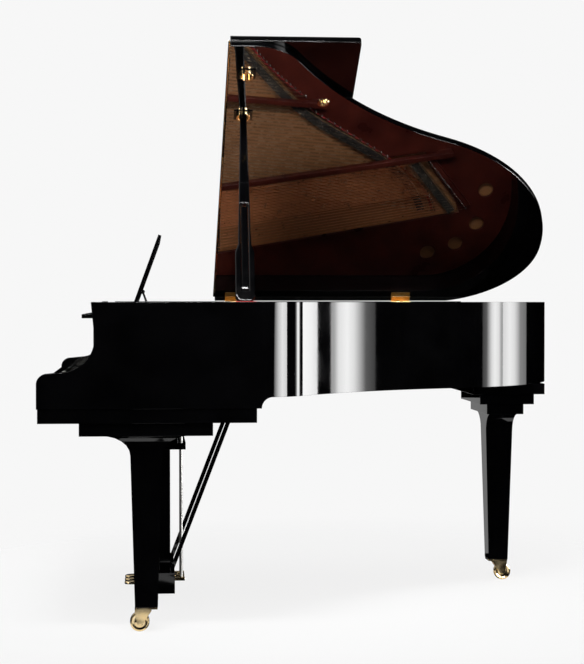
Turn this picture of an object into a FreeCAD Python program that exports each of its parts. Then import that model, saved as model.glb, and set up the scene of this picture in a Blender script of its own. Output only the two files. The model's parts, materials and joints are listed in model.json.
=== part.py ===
import FreeCAD, Part
import math
import os
import Sketcher
from types import SimpleNamespace
from FreeCAD import Placement, Rotation, Vector

# A grand piano about 1.75 m long, in millimetres and degrees.
# +X runs from the keyboard to the tail, +Y from the treble to the straight bass side, +Z up.
# The origin lies on the floor, under the middle of the case.

SIZES = [
    # Case outline, seen from above
    ("case_length", 1745), ("rim_wall", 40), ("treble_share", 0.3731), ("shoulder_radius", 165),
    ("shoulder_turn", 54), ("waist_share", 0.6934), ("tail_heading", 22),
    # Case seen from the side
    ("rim_height", 313), ("belly_start", 658), ("belly_step", 33),
    ("arm_nose_height", 73), ("arm_nose_radius", 30), ("arm_shelf_length", 70), ("arm_shelf_rise", 4),
    ("arm_scroll_length", 99), ("arm_scroll_height", 103), ("arm_scroll_radius", 100),
    ("arm_top_length", 159),
    ("keybed_inset", 3), ("keybed_length", 641), ("keybed_thickness", 42),
    ("key_slip_setback", 4), ("key_slip_thickness", 24), ("key_slip_height", 72),
    ("cheek_setback", 30), ("cheek_length", 130), ("cheek_width", 86),
    # Frame under the soundboard
    ("inner_rim_wall", 30), ("belly_rail_setback", 600), ("belly_rail_thickness", 40),
    ("belly_treble_advance", 115), ("belly_treble_width", 185), ("belly_slant_width", 220),
    ("post_width", 62), ("post_height", 86), ("post_fan", 1.25),
    # Soundboard and bridges
    ("board_depth", 153), ("board_thickness", 9), ("board_clearance", 0.3),
    ("rib_width", 24), ("rib_height", 18), ("rib_pitch", 130),
    ("bridge_width", 28), ("bridge_end", 5), ("string_seat", 0.3),
    # Stringing
    ("string_lift", 40), ("bass_rise", 24), ("strike_setback", 455), ("note_pitch", 12.7),
    ("section_gap", 30), ("bass_gap", 48), ("top_string_length", 52), ("tenor_string_share", 0.6074),
    ("bass_string_share", 0.6762), ("bass_taper", 0.008), ("tenor_bend", 1.795), ("strike_share", 0.125),
    ("tenor_sweep", 129.2), ("bass_sweep", 225.2), ("bass_sweep_loss", 0.15), ("hitch_share", 0.0335),
    ("string_thickness", 1.1), ("bass_string_thickness", 3.2), ("unison_spacing", 3.6), ("bass_spacing", 5),
    # Iron plate and pin block
    ("plate_setback", 225), ("plate_lift", 16), ("plate_thickness", 12), ("plate_clearance", 1),
    ("window_margin", 15), ("hitch_margin", 40), ("strut_width", 18), ("strut_height", 46),
    ("strut_clearance", 20), ("strut_foot", 45), ("strut_foot_lap", 36), ("bass_strut_shift", -8.1),
    ("window_side", 30), ("plate_hole", 58), ("plate_hole_inset", 100),
    ("pin_block_length", 205), ("pin_block_thickness", 30),
    ("tuning_pin_width", 4.8), ("tuning_pin_height", 30), ("tuning_pin_gap", 45), ("tuning_pin_row", 26),
    # Keyboard
    ("key_setback", 34), ("key_length", 380), ("key_pitch", 23.6), ("key_gap", 1), ("key_head", 50),
    ("key_height", 22), ("key_lift", 36), ("sharp_rise", 12), ("sharp_length", 94), ("sharp_setback", 52),
    ("sharp_bevel", 4), ("key_side_gap", 5.4), ("balance_setback", 249),
    ("key_pivot_radius", 1.7), ("rest_gap", 0.3), ("rail_depth", 50),
    ("front_rail_height", 20),
    # Hammers and dampers
    ("hammer_pivot_setback", 325), ("hammer_pivot_lift", 130), ("hammer_pivot_radius", 2.4),
    ("hammer_length", 130), ("hammer_reach", 62), ("hammer_rest", 18), ("hammer_width", 9.5),
    ("hammer_head_depth", 20), ("hammer_clearance", 4), ("hammer_butt", 9), ("hammer_shank", 6),
    ("hammer_shoulder_share", 0.65), ("hammer_rail_half", 6), ("hammer_rail_height", 24),
    ("action_side_gap", 8), ("action_bracket", 8),
    ("damper_setback", 510), ("damper_length", 40), ("damper_height", 14), ("damper_width", 12),
    ("damper_wire", 1.6), ("damper_wire_place", 5.7), ("damper_rail_lift", 92), ("damper_rail_height", 14),
    ("damper_rail_depth", 20),
    # Fallboard
    ("fall_thickness", 16), ("fall_setback", 165), ("fall_lift", 75), ("fall_height", 202),
    ("fall_lip_depth", 34), ("fall_lip_thickness", 12), ("fall_pivot_rise", 40), ("fall_side_gap", 1),
    ("fall_pin_radius", 5), ("fall_pin_length", 8), ("pin_clearance", 0.05), ("pin_end_gap", 0.4),
    # Music desk
    ("tray_setback", 250), ("tray_length", 180), ("tray_thickness", 14), ("tray_depth", 32),
    ("tray_side_gap", 2), ("tray_window_width", 440), ("tray_window_length", 90), ("tray_lip", 6),
    ("tray_lip_depth", 14), ("tray_rail_width", 15), ("tray_rail_height", 12), ("tray_rail_clear", 27),
    ("desk_pivot_setback", 286), ("desk_foot_radius", 5.7), ("desk_tilt", 70), ("desk_height", 247),
    ("desk_width", 780), ("desk_thickness", 10), ("desk_standoff", 4), ("strut_arm", 63),
    ("desk_strut_thickness", 6), ("desk_strut_width", 22), ("desk_strut_share", 0.3205),
    ("desk_hinge_length", 60), ("desk_hinge_radius", 3), ("desk_hinge_share", 0.4167),
    ("strut_lug_drop", 4.8),
    # Lid
    ("lid_overhang", 10), ("lid_thickness", 20), ("lid_gap", 3), ("lid_angle", 31),
    ("lid_front_share", 0.88), ("flap_front", 166), ("hinge_offset", 4), ("hinge_knuckle", 3.6),
    ("hinge_pin", 1.5), ("hinge_length", 72), ("hinge_leaf_width", 34), ("hinge_leaf", 1.3),
    ("hinge_leaf_wrap", 2.2),
    ("rear_hinge_share", 0.7375), ("flap_gap", 3.5), ("flap_lift", 0.4),
    ("flap_knuckle", 3), ("flap_pin", 1.2),
    ("cup_plate", 3), ("cup_width", 46), ("cup_length", 60), ("long_cup_reach", 1164),
    ("short_cup_reach", 1372), ("cup_recess", 1.4), ("cup_dish", 16), ("prop_tip_gap", 0.9),
    # Lid props
    ("prop_share", 0.9415), ("prop_tip_share", 0.9677), ("prop_inset", 24), ("prop_drop", 22),
    ("prop_paddle_width", 58), ("prop_paddle_length", 178), ("prop_shoulder", 30), ("prop_thickness", 18),
    ("prop_waist_width", 40), ("prop_tip_width", 20), ("prop_sill", 17.4), ("prop_neck", 8),
    ("prop_eye_radius", 9),
    ("prop_eye_width", 22), ("prop_pin_radius", 4),
    ("prop_slot_width", 24), ("prop_slot_start", 36), ("prop_slot_length", 330), ("short_prop_width", 21),
    ("short_prop_gap", 1.6), ("prop_pin_hold", 8), ("prop_bracket_wall", 5), ("side_play", 0.4),
    ("prop_rise", 26), ("prop_plate_height", 62), ("prop_plate_width", 52), ("prop_plate_thickness", 7),
    ("prop_arm_height", 12.6), ("prop_arm_drop", 28.8),
    # Legs and casters
    ("caster_height", 75), ("leg_length", 515), ("leg_foot", 68), ("leg_top", 94), ("leg_flare", 62),
    ("leg_block_thickness", 38), ("leg_block_length", 392), ("leg_block_width", 200),
    ("leg_setback", 319), ("leg_inset", 110), ("leg_crown_length", 270), ("leg_crown_width", 180),
    ("tail_leg_setback", 191), ("tail_leg_side", 220), ("tail_plate_thickness", 36),
    ("tail_plate_length", 248), ("tail_plate_width", 420), ("tail_plate_step", 30),
    ("wheel_radius", 29), ("wheel_width", 26), ("wheel_bore", 4), ("wheel_side_gap", 0.6),
    ("caster_plate", 6), ("caster_plate_width", 66), ("caster_trail", 20), ("fork_cheek", 4),
    ("fork_width", 30), ("fork_crown", 7), ("pintle_radius", 6), ("swivel_gap", 0.3),
    # Lyre and pedals
    ("lyre_box_setback", 348), ("lyre_box_length", 62), ("lyre_box_width", 450), ("lyre_box_bottom", 40),
    ("lyre_box_height", 67), ("lyre_pillar", 35), ("lyre_pillar_place", 92), ("lyre_head_height", 128),
    ("lyre_head_length", 84), ("lyre_head_width", 300), ("lyre_guide_thickness", 22),
    ("lyre_guide_length", 110), ("pedal_rod_setback", 434), ("pedal_rod_radius", 5),
    ("brace_place", 120), ("brace_width", 14), ("brace_reach", 200),
    ("pedal_pitch", 62), ("pedal_reach", 102), ("pedal_drop", 9), ("pedal_tail", 66), ("pedal_width", 50),
    ("pedal_neck", 22), ("pedal_thickness", 12), ("pedal_lift", 22), ("pedal_pin_radius", 4),
    ("pedal_slot_gap", 2), ("pedal_pin_length", 6), ("pedal_swell", 80), ("pedal_rod_entry", 31.5),
]


class Dim:
    """A size that carries its number and the formula on the sheet that gives it."""

    def __init__(self, number, formula):
        self.number = number
        self.formula = formula

    def __float__(self):
        return self.number

    def __neg__(self):
        return Dim(-self.number, "-(%s)" % self.formula)

    def __add__(self, other):
        other = as_dim(other)
        return Dim(self.number + other.number, "(%s + %s)" % (self.formula, other.formula))

    def __sub__(self, other):
        other = as_dim(other)
        return Dim(self.number - other.number, "(%s - %s)" % (self.formula, other.formula))

    def __mul__(self, other):
        other = as_dim(other)
        return Dim(self.number * other.number, "%s * %s" % (self.formula, other.formula))

    def __truediv__(self, other):
        other = as_dim(other)
        return Dim(self.number / other.number, "%s / (%s)" % (self.formula, other.formula))

    __radd__ = __add__
    __rmul__ = __mul__

    def __rsub__(self, other):
        return as_dim(other) - self


def as_dim(value):
    if isinstance(value, Dim):
        return value
    return Dim(float(value), "(%.12g)" % value)


doc = FreeCAD.newDocument("grand_piano")
sheet = doc.addObject("Spreadsheet::Sheet", "size")
for row, (alias, number) in enumerate(SIZES, 1):
    sheet.set("A%d" % row, alias)
    sheet.set("B%d" % row, str(number))
    sheet.setAlias("B%d" % row, alias)
doc.recompute()
s = SimpleNamespace(**{alias: Dim(float(sheet.get(alias)), "size." + alias) for alias, number in SIZES})

NATURALS = 52
nodes = []

# Levels and places that several pieces share
front = -s.case_length / 2
tail = s.case_length / 2
treble_straight = s.case_length * s.treble_share
lid_front = treble_straight * s.lid_front_share
prop_setback = treble_straight * s.prop_share
prop_tip_setback = treble_straight * s.prop_tip_share
waist_radius = s.case_length * s.waist_share
keyboard_half = s.key_pitch * NATURALS / 2
inside = keyboard_half + s.key_side_gap + s.cheek_width
side = inside + s.rim_wall
case_width = side * 2
block_bottom = s.caster_height + s.leg_length
keybed_bottom = block_bottom + s.leg_block_thickness
keybed_top = keybed_bottom + s.keybed_thickness
belly = keybed_top + s.belly_step
rim_top = keybed_top + s.rim_height
board_top = rim_top - s.board_depth
board_bottom = board_top - s.board_thickness
plate_bottom = board_top + s.plate_lift
plate_top = plate_bottom + s.plate_thickness
string_level = board_top + s.string_lift
bass_level = string_level + s.bass_rise
key_bottom = keybed_top + s.key_lift
key_top = key_bottom + s.key_height


def keep(item, label):
    """Name a finished sub-part and put it on the list of files."""
    item.Label = label
    nodes.append(item)
    return item


def make(kind, **sizes):
    """A primitive whose sizes and place follow the sheet."""
    item = doc.addObject("Part::" + kind, kind)
    for prop, value in sizes.items():
        path = "Placement.Base." + prop if prop in "xyz" else prop
        item.setExpression(path, as_dim(value).formula)
    return item


def box(x, y, z, length, width, height):
    return make("Box", x=x, y=y, z=z, Length=length, Width=width, Height=height)


def rod(x, y, z, radius, height, axis=Vector(0, 0, 1)):
    item = make("Cylinder", x=x, y=y, z=z, Radius=radius, Height=height)
    item.Placement.Rotation = Rotation(Vector(0, 0, 1), axis)
    return item


def fuse(*items):
    item = doc.addObject("Part::MultiFuse", "Fuse")
    item.Shapes = list(items)
    return item


def cut(base, *tools):
    item = doc.addObject("Part::Cut", "Cut")
    item.Base = base
    item.Tool = tools[0] if len(tools) == 1 else fuse(*tools)
    return item


def group(label, items):
    """Separate pieces of one kind that share a file."""
    item = doc.addObject("Part::Compound", "Group")
    item.Links = list(items)
    return keep(item, label)


def feature(shape, place=None):
    """A piece whose form comes from a formula."""
    item = doc.addObject("Part::Feature", "Formed")
    item.Shape = shape
    if place is not None:
        item.Placement = place
    return item


def arc_between(first, last, radius, turn):
    """Arc of less than half a circle; turn is 1 for a left-hand and -1 for a right-hand bend."""
    chord = last - first
    middle = (first + last) * 0.5
    half = chord.Length / 2
    sagitta = radius - math.sqrt(radius * radius - half * half)
    outward = Vector(chord.y, -chord.x, 0).normalize()
    return Part.Arc(first, middle + outward * (sagitta * turn), last)


def profile(body, plane, outline):
    """Closed sketch through corners (u, v) or (u, v, radius, turn) where an arc starts."""
    sketch = body.newObject("Sketcher::SketchObject", "Profile")
    support = [item for item in body.Origin.OriginFeatures if item.Role == plane][0]
    sketch.AttachmentSupport = [(support, "")]
    sketch.MapMode = "FlatFace"
    corners = [Vector(float(corner[0]), float(corner[1]), 0) for corner in outline]
    ends = []
    for index, corner in enumerate(outline):
        first = corners[index]
        last = corners[(index + 1) % len(corners)]
        if len(corner) == 2:
            sketch.addGeometry(Part.LineSegment(first, last), False)
            ends.append((1, 2))
        elif corner[3] > 0:
            sketch.addGeometry(arc_between(first, last, float(corner[2]), 1), False)
            ends.append((1, 2))
        else:
            sketch.addGeometry(arc_between(last, first, float(corner[2]), 1), False)
            ends.append((2, 1))
    for index in range(len(outline)):
        after = (index + 1) % len(outline)
        sketch.addConstraint(Sketcher.Constraint("Coincident", index, ends[index][1], after, ends[after][0]))
    for index, corner in enumerate(outline):
        for kind, value in (("DistanceX", corner[0]), ("DistanceY", corner[1])):
            bound = Sketcher.Constraint(kind, -1, 1, index, ends[index][0], float(value))
            name = "Constraints[%d]" % sketch.addConstraint(bound)
            sketch.setExpression(name, as_dim(value).formula)
        if len(corner) > 2:
            radius = Sketcher.Constraint("Radius", index, float(corner[2]))
            name = "Constraints[%d]" % sketch.addConstraint(radius)
            sketch.setExpression(name, as_dim(corner[2]).formula)
    return sketch


def bar(outline, length, plane="XZ_Plane", x=0, y=0, z=0):
    """Body padded evenly to both sides of its plane, then set in place."""
    body = doc.addObject("PartDesign::Body", "Body")
    pad = body.newObject("PartDesign::Pad", "Pad")
    pad.Profile = profile(body, plane, outline)
    pad.SideType = "Symmetric"
    pad.setExpression("Length", as_dim(length).formula)
    for axis, value in zip("xyz", (x, y, z)):
        body.setExpression("Placement.Base." + axis, as_dim(value).formula)
    return body


def prism(corners, direction):
    """Solid swept straight from a flat closed polygon."""
    points = list(corners)
    return Part.Face(Part.makePolygon(points + points[:1])).extrude(direction)


def slab(face, bottom, height):
    face.translate(Vector(0, 0, float(bottom)))
    return face.extrude(Vector(0, 0, float(height)))


def case_chain(inset, start):
    """The case outline from above, moved in by inset: treble side, bent side, tail and straight bass side."""
    inset = float(inset)
    heading = math.radians(float(s.shoulder_turn))
    leaving = math.radians(float(s.tail_heading))
    half = float(side)
    shoulder = Vector(float(front + treble_straight), -half + float(s.shoulder_radius), 0)
    inflection = Vector(math.sin(heading), -math.cos(heading), 0)
    waist = shoulder + inflection * float(s.shoulder_radius + waist_radius)
    bend_end = waist + Vector(-math.sin(leaving), math.cos(leaving), 0) * float(waist_radius)
    bend_radius = (float(tail) - bend_end.x) / (1 - math.sin(leaving))
    bend = bend_end + Vector(-math.sin(leaving), math.cos(leaving), 0) * bend_radius
    corner_radius = half - bend.y
    corner = Vector(float(tail) - corner_radius, bend.y, 0)

    def at(centre, radius, angle):
        return centre + Vector(math.sin(angle), -math.cos(angle), 0) * radius

    right = math.pi / 2
    begin = Vector(float(start), -half + inset, 0)
    finish = Vector(float(start), half - inset, 0)
    stretches = [
        (shoulder, float(s.shoulder_radius) - inset, 0, heading),
        (waist, -float(waist_radius) - inset, heading, leaving),
        (bend, bend_radius - inset, leaving, right),
        (corner, corner_radius - inset, right, 2 * right),
    ]
    edges = [Part.LineSegment(begin, at(*stretches[0][:3])).toShape()]
    for centre, radius, first, last in stretches:
        points = [at(centre, radius, angle) for angle in (first, (first + last) / 2, last)]
        edges.append(Part.Arc(*points).toShape())
    edges.append(Part.LineSegment(at(corner, corner_radius - inset, 2 * right), finish).toShape())
    return edges, begin, finish


def case_face(inset, start):
    """Everything inside the outline, closed by a straight front edge."""
    edges, begin, finish = case_chain(inset, start)
    return Part.Face(Part.Wire(edges + [Part.LineSegment(finish, begin).toShape()]))


def case_band(outer, inner, start):
    """The strip between two insets of the outline, open at the front."""
    outside, begin, finish = case_chain(outer, start)
    within, inner_begin, inner_finish = case_chain(inner, start)
    turn = Part.LineSegment(finish, inner_finish).toShape()
    back = Part.LineSegment(inner_begin, begin).toShape()
    return Part.Face(Part.Wire(outside + [turn] + within[::-1] + [back]))


# Case: bent rim with scrolled arms, keybed, key slip and cheek blocks
def build_rim():
    nose = keybed_top + s.arm_nose_height
    shelf = nose + s.arm_nose_radius
    scroll = shelf + s.arm_shelf_rise
    scroll_front = front + s.arm_shelf_length
    over = s.rim_wall
    arm_notch = bar([
        (front - over, nose), (front, nose, s.arm_nose_radius, -1),
        (front + s.arm_nose_radius, shelf), (scroll_front, scroll, s.arm_scroll_radius, 1),
        (scroll_front + s.arm_scroll_length, scroll + s.arm_scroll_height),
        (front + s.arm_top_length, rim_top), (front + s.arm_top_length, rim_top + over),
        (front - over, rim_top + over)], case_width + over)
    belly_front = front + s.belly_start
    belly_cut = bar([
        (belly_front, keybed_top - over), (tail + over, keybed_top - over), (tail + over, belly),
        (belly_front + s.belly_step, belly, s.belly_step, 1), (belly_front, keybed_top)],
        case_width + over)
    pivot_x, pivot_z = fall_pivot()
    hole_depth = s.fall_pin_length + s.pin_end_gap - s.fall_side_gap
    holes = [rod(pivot_x, where, pivot_z, s.fall_pin_radius + s.pin_clearance, hole_depth, Vector(0, 1, 0))
             for where in (inside, -inside - hole_depth)]
    wall = feature(slab(case_band(0, s.rim_wall, front), keybed_top, s.rim_height))
    keep(cut(wall, arm_notch, belly_cut, *holes), "rim")


def fall_pivot():
    """Axis of the fallboard's pins, low in the board."""
    return (front + s.fall_setback + s.fall_thickness / 2, keybed_top + s.fall_lift + s.fall_pivot_rise)


def build_key_surround():
    plank = box(front + s.keybed_inset, -side + s.keybed_inset, keybed_bottom, s.keybed_length,
                case_width - 2 * s.keybed_inset, s.keybed_thickness)
    rod_x = front + s.pedal_rod_setback
    hole = s.pedal_rod_radius + s.rest_gap
    holes = [rod(rod_x, turn * s.pedal_pitch, keybed_bottom, hole, s.keybed_thickness)
             for label, turn in PEDALS]
    keep(cut(plank, *holes), "keybed")
    keep(box(front + s.key_slip_setback, -inside, keybed_top, s.key_slip_thickness, 2 * inside,
             s.key_slip_height), "key_slip")
    cheek_x = front + s.cheek_setback
    blocks = [box(cheek_x, where, keybed_top, s.cheek_length, s.cheek_width, s.key_slip_height)
              for where in (-inside, inside - s.cheek_width)]
    group("cheek_blocks", blocks)


# Frame that carries the soundboard; each post has its share of the width at both ends
POST_SPREADS = (-0.32, -0.02, 0.3, 0.62)


def belly_line(offset):
    """Front of the soundboard from treble to bass: it comes forward under the short treble strings."""
    rear = float(front + s.belly_rail_setback + offset)
    near = rear - float(s.belly_treble_advance)
    edge = float(inside)
    step = -edge + float(s.belly_treble_width)
    return [Vector(near, -edge, 0), Vector(near, step, 0),
            Vector(rear, step + float(s.belly_slant_width), 0), Vector(rear, edge, 0)]


def behind_belly(offset, bottom, height):
    """A block behind the belly line, to trim pieces with."""
    line = belly_line(offset)
    far = float(tail + s.rim_wall)
    line = [Vector(line[0].x, line[0].y - float(case_width), 0)] + line
    line = line + [Vector(line[-1].x, line[-1].y + float(case_width), 0)]
    corners = line + [Vector(far, line[-1].y, 0), Vector(far, line[0].y, 0)]
    return slab(Part.Face(Part.makePolygon(corners + corners[:1])), bottom, height)


def build_frame():
    """Belly rail across the case, inner rim under the soundboard's edge, and back posts."""
    height = board_bottom - belly
    rail_height = board_bottom - keybed_top
    rail_line = belly_line(0) + belly_line(s.belly_rail_thickness)[::-1]
    rail = slab(Part.Face(Part.makePolygon(rail_line + rail_line[:1])), keybed_top, rail_height)
    start = front + treble_straight - s.shoulder_radius
    band = slab(case_band(s.rim_wall, s.rim_wall + s.inner_rim_wall, start), belly, height)
    band = band.common(behind_belly(s.belly_rail_thickness, belly, height))
    room = slab(case_face(s.rim_wall + s.inner_rim_wall, start), belly, s.post_height)
    room = room.common(behind_belly(s.belly_rail_thickness, belly, s.post_height))
    rail_back = float(front + s.belly_rail_setback)
    meeting = Vector(float(tail - s.tail_leg_setback), float(s.tail_leg_side), 0)
    posts = []
    for spread in POST_SPREADS:
        begin = Vector(rail_back, spread * float(side * s.post_fan), 0)
        aim = meeting + Vector(float(s.tail_leg_setback), spread * float(s.tail_plate_width), 0)
        along = (aim - begin).normalize()
        across = Vector(-along.y, along.x, 0) * (float(s.post_width) / 2)
        far = aim + along * float(s.tail_plate_length)
        beam = prism([begin - across, far - across, far + across, begin + across],
                     Vector(0, 0, float(s.post_height)))
        beam.translate(Vector(0, 0, float(belly)))
        beam = beam.common(room)
        for post in posts:
            beam = beam.cut(post)
        posts.append(max(beam.Solids, key=lambda solid: solid.Volume))
    keep(feature(Part.makeCompound([rail, band] + posts)), "case_frame")


# Soundboard with ribs under it
def build_soundboard():
    start = front + treble_straight - s.shoulder_radius
    board = slab(case_face(s.rim_wall + s.board_clearance, start), board_bottom, s.board_thickness)
    board = board.common(behind_belly(s.board_clearance, board_bottom, s.board_thickness))
    level = board_bottom - s.rib_height
    room = slab(case_face(s.rim_wall + s.inner_rim_wall + s.plate_clearance, start), level, s.rib_height)
    room = room.common(behind_belly(s.belly_rail_thickness + s.plate_clearance, level, s.rib_height))
    along = Vector(1, 1, 0).normalize()
    across = Vector(-along.y, along.x, 0)
    middle = Vector(float(front + s.belly_rail_setback), 0, 0)
    reach = float(s.case_length)
    ribs = []
    for index in range(-1, 8):
        centre = middle + along.cross(Vector(0, 0, 1)) * (index * float(s.rib_pitch))
        edge = across * (float(s.rib_width) / 2)
        rib = prism([centre - along * reach - edge, centre + along * reach - edge,
                     centre + along * reach + edge, centre - along * reach + edge],
                    Vector(0, 0, float(s.rib_height)))
        rib.translate(Vector(0, 0, float(level)))
        ribs.extend(rib.common(room).Solids)
    keep(feature(Part.makeCompound([board] + ribs)), "soundboard")


# Stringing: every note's line over the strike point, from its agraffe over its bridge to its hitch pin
NOTES = 88
OCTAVE = 12
BASS_NOTES = 20
SECTION_STARTS = (21, 48, 69)
SINGLE_NOTES = 8
DAMPED_NOTES = 68


def note_steps(first, last, count):
    """Notes spread evenly from first to last, through which the smooth lines run."""
    return [first + round((last - first) * step / count) for step in range(count + 1)]


TENOR_STEPS = note_steps(BASS_NOTES + 1, NOTES, 8)
BASS_STEPS = note_steps(1, BASS_NOTES, 3)


def note_place(note):
    """Where the hammer of a note strikes, across the case."""
    gaps = [float(s.bass_gap), float(s.section_gap), float(s.section_gap)]
    width = (NOTES - 1) * float(s.note_pitch) + sum(gaps)
    passed = sum(gap for first, gap in zip(SECTION_STARTS, gaps) if note >= first)
    return width / 2 - (note - 1) * float(s.note_pitch) - passed


def speaking_length(note):
    if note <= BASS_NOTES:
        return float(s.case_length * s.bass_string_share) * (1 - float(s.bass_taper) * (note - 1))
    longest = float(s.case_length * s.tenor_string_share)
    top = float(s.top_string_length)
    free = top * (float(s.tenor_bend) * longest / top) ** ((NOTES - note) / (NOTES - BASS_NOTES - 1))
    return (free ** -4 + longest ** -4) ** -0.25


def string_line(note):
    """Strike point, direction, agraffe, bridge and hitch of a note, seen from above."""
    if note <= BASS_NOTES:
        slope = math.asin(float(s.bass_sweep / (s.case_length * s.bass_string_share)))
        angle = -slope * (1 - float(s.bass_sweep_loss) * note / BASS_NOTES)
    else:
        slope = math.asin(float(s.tenor_sweep / (s.case_length * s.tenor_string_share)))
        angle = slope * (NOTES - note) / (NOTES - BASS_NOTES)
    strike = Vector(float(front + s.strike_setback), note_place(note), 0)
    along = Vector(math.cos(angle), math.sin(angle), 0)
    length = speaking_length(note)
    agraffe = strike - along * (length * float(s.strike_share))
    bridge = agraffe + along * length
    hitch = bridge + along * float(s.case_length * s.hitch_share)
    return SimpleNamespace(strike=strike, along=along, agraffe=agraffe, bridge=bridge, hitch=hitch)


def strand_offsets(note):
    """Sideways places of the one, two or three strings of a note."""
    space = float(s.unison_spacing)
    if note <= SINGLE_NOTES:
        return [0]
    if note <= BASS_NOTES:
        return [-float(s.bass_spacing) / 2, float(s.bass_spacing) / 2]
    return [-space, 0, space]


def pin_place(line, strand):
    """Tuning pin in front of the agraffe, one row further forward for each strand."""
    return line.agraffe - line.along * float(s.tuning_pin_gap + s.tuning_pin_row * strand)


def build_strings():
    triangle = [math.radians(90 + 120 * corner) for corner in range(3)]
    pins = []
    sets = {"bass_strings": [], "treble_strings": []}
    for note in range(1, NOTES + 1):
        line = string_line(note)
        bass = note <= BASS_NOTES
        level = float(bass_level if bass else string_level)
        radius = float(s.bass_string_thickness if bass else s.string_thickness) / 2
        across = Vector(-line.along.y, line.along.x, 0)
        half = float(s.tuning_pin_width) / 2
        for strand, offset in enumerate(strand_offsets(note)):
            pin = pin_place(line, strand) + across * offset
            begin = pin + line.along * (half + float(s.string_seat))
            begin.z = level
            length = (line.hitch - pin).dot(line.along)
            ring = [begin + across * (radius * math.cos(turn)) + Vector(0, 0, radius * math.sin(turn))
                    for turn in triangle]
            sets["bass_strings" if bass else "treble_strings"].append(prism(ring, line.along * length))
            corners = [pin + line.along * (half * u) + across * (half * v)
                       for u, v in ((-1, -1), (1, -1), (1, 1), (-1, 1))]
            rise = level - float(string_level) + float(s.tuning_pin_height)
            post = prism(corners, Vector(0, 0, rise))
            post.translate(Vector(0, 0, float(plate_top)))
            pins.append(post)
    for label, strings in sets.items():
        keep(feature(Part.makeCompound(strings)), label)
    keep(feature(Part.makeCompound(pins)), "tuning_pins")


def curved_strip(points, width, bottom, top):
    """Upright strip of even width along a smooth line."""
    curve = Part.BSplineCurve()
    curve.interpolate(points)
    left = []
    right = []
    for point in points:
        tangent = curve.tangent(curve.parameter(point))[0]
        across = Vector(-tangent.y, tangent.x, 0) * (width / 2)
        left.append(point + across)
        right.append(point - across)
    sides = []
    for line in (left, right[::-1]):
        edge = Part.BSplineCurve()
        edge.interpolate(line)
        sides.append(edge.toShape())
    ends = [Part.LineSegment(left[-1], right[-1]).toShape(), Part.LineSegment(right[0], left[0]).toShape()]
    outline = Part.Wire([sides[0], ends[0], sides[1], ends[1]])
    return slab(Part.Face(outline), bottom, float(top) - float(bottom))


def build_bridges():
    margin = float(s.bridge_end)
    strips = []
    for notes, level, thick in ((TENOR_STEPS, string_level, s.string_thickness),
                                (BASS_STEPS, bass_level, s.bass_string_thickness)):
        points = [string_line(note).bridge for note in notes]
        points[0] = points[0] + (points[0] - points[1]).normalize() * margin
        points[-1] = points[-1] + (points[-1] - points[-2]).normalize() * margin
        top = level - thick / 2 - s.string_seat
        strips.append(curved_strip(points, float(s.bridge_width), board_top, top))
    keep(feature(Part.makeCompound(strips)), "bridges")


# Places of the round holes along each arc of the plate's edge
HOLE_SHARES = (0.3, 0.62, 0.94)


# Iron plate: hitch panel, web over the pin block, open window for the strings, struts and round holes
def smooth_edge(points):
    curve = Part.BSplineCurve()
    curve.interpolate(points)
    return curve.toShape()


def window_start(line):
    """How far behind the agraffe the opening starts, so that the hammer's head comes up clear."""
    hammer_room = float(s.hammer_head_depth) / 2 + float(s.hammer_clearance)
    return min(float(s.window_margin), (line.strike - line.agraffe).Length - hammer_room)


def window(notes):
    """Opening from behind the agraffes to past the bridge."""
    near = [string_line(note) for note in notes]
    fronts = [line.agraffe + line.along * window_start(line) for line in near]
    backs = [line.bridge + line.along * float(s.hitch_margin) for line in near]
    spread = Vector(0, float(s.window_side), 0)
    for row in (fronts, backs):
        row[0] = row[0] + spread
        row[-1] = row[-1] - spread
    edges = [smooth_edge(fronts), Part.LineSegment(fronts[-1], backs[-1]).toShape(),
             smooth_edge(backs[::-1]), Part.LineSegment(backs[0], fronts[0]).toShape()]
    return slab(Part.Face(Part.Wire(edges)), plate_bottom, s.plate_thickness)


def strut(first_note, reach):
    """Raised bar between two string sections, with a foot at each end."""
    before = string_line(first_note - 1)
    after = string_line(first_note)
    begin = (before.strike + after.strike) * 0.5
    along = after.along
    if first_note - 1 <= BASS_NOTES:
        along = before.along
        damper_end = float(s.damper_setback + s.damper_length - s.strike_setback)
        begin = begin + Vector(damper_end, float(s.bass_strut_shift), 0)
    across = Vector(-along.y, along.x, 0)
    begin = begin - along * ((begin.x - after.agraffe.x) / along.x + float(s.strut_foot_lap))
    begin = begin - across * (float(s.strut_width) / 2)
    foot = float(s.strut_foot)
    low = float(plate_top)
    lift = float(s.strut_clearance)
    high = low + float(s.strut_height)
    run = [(0, low), (0, high), (reach, high), (reach, low), (reach - foot, low),
           (reach - foot - lift, low + lift), (foot + lift, low + lift), (foot, low)]
    corners = [begin + along * u + Vector(0, 0, v) for u, v in run]
    return prism(corners, across * float(s.strut_width))


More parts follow.
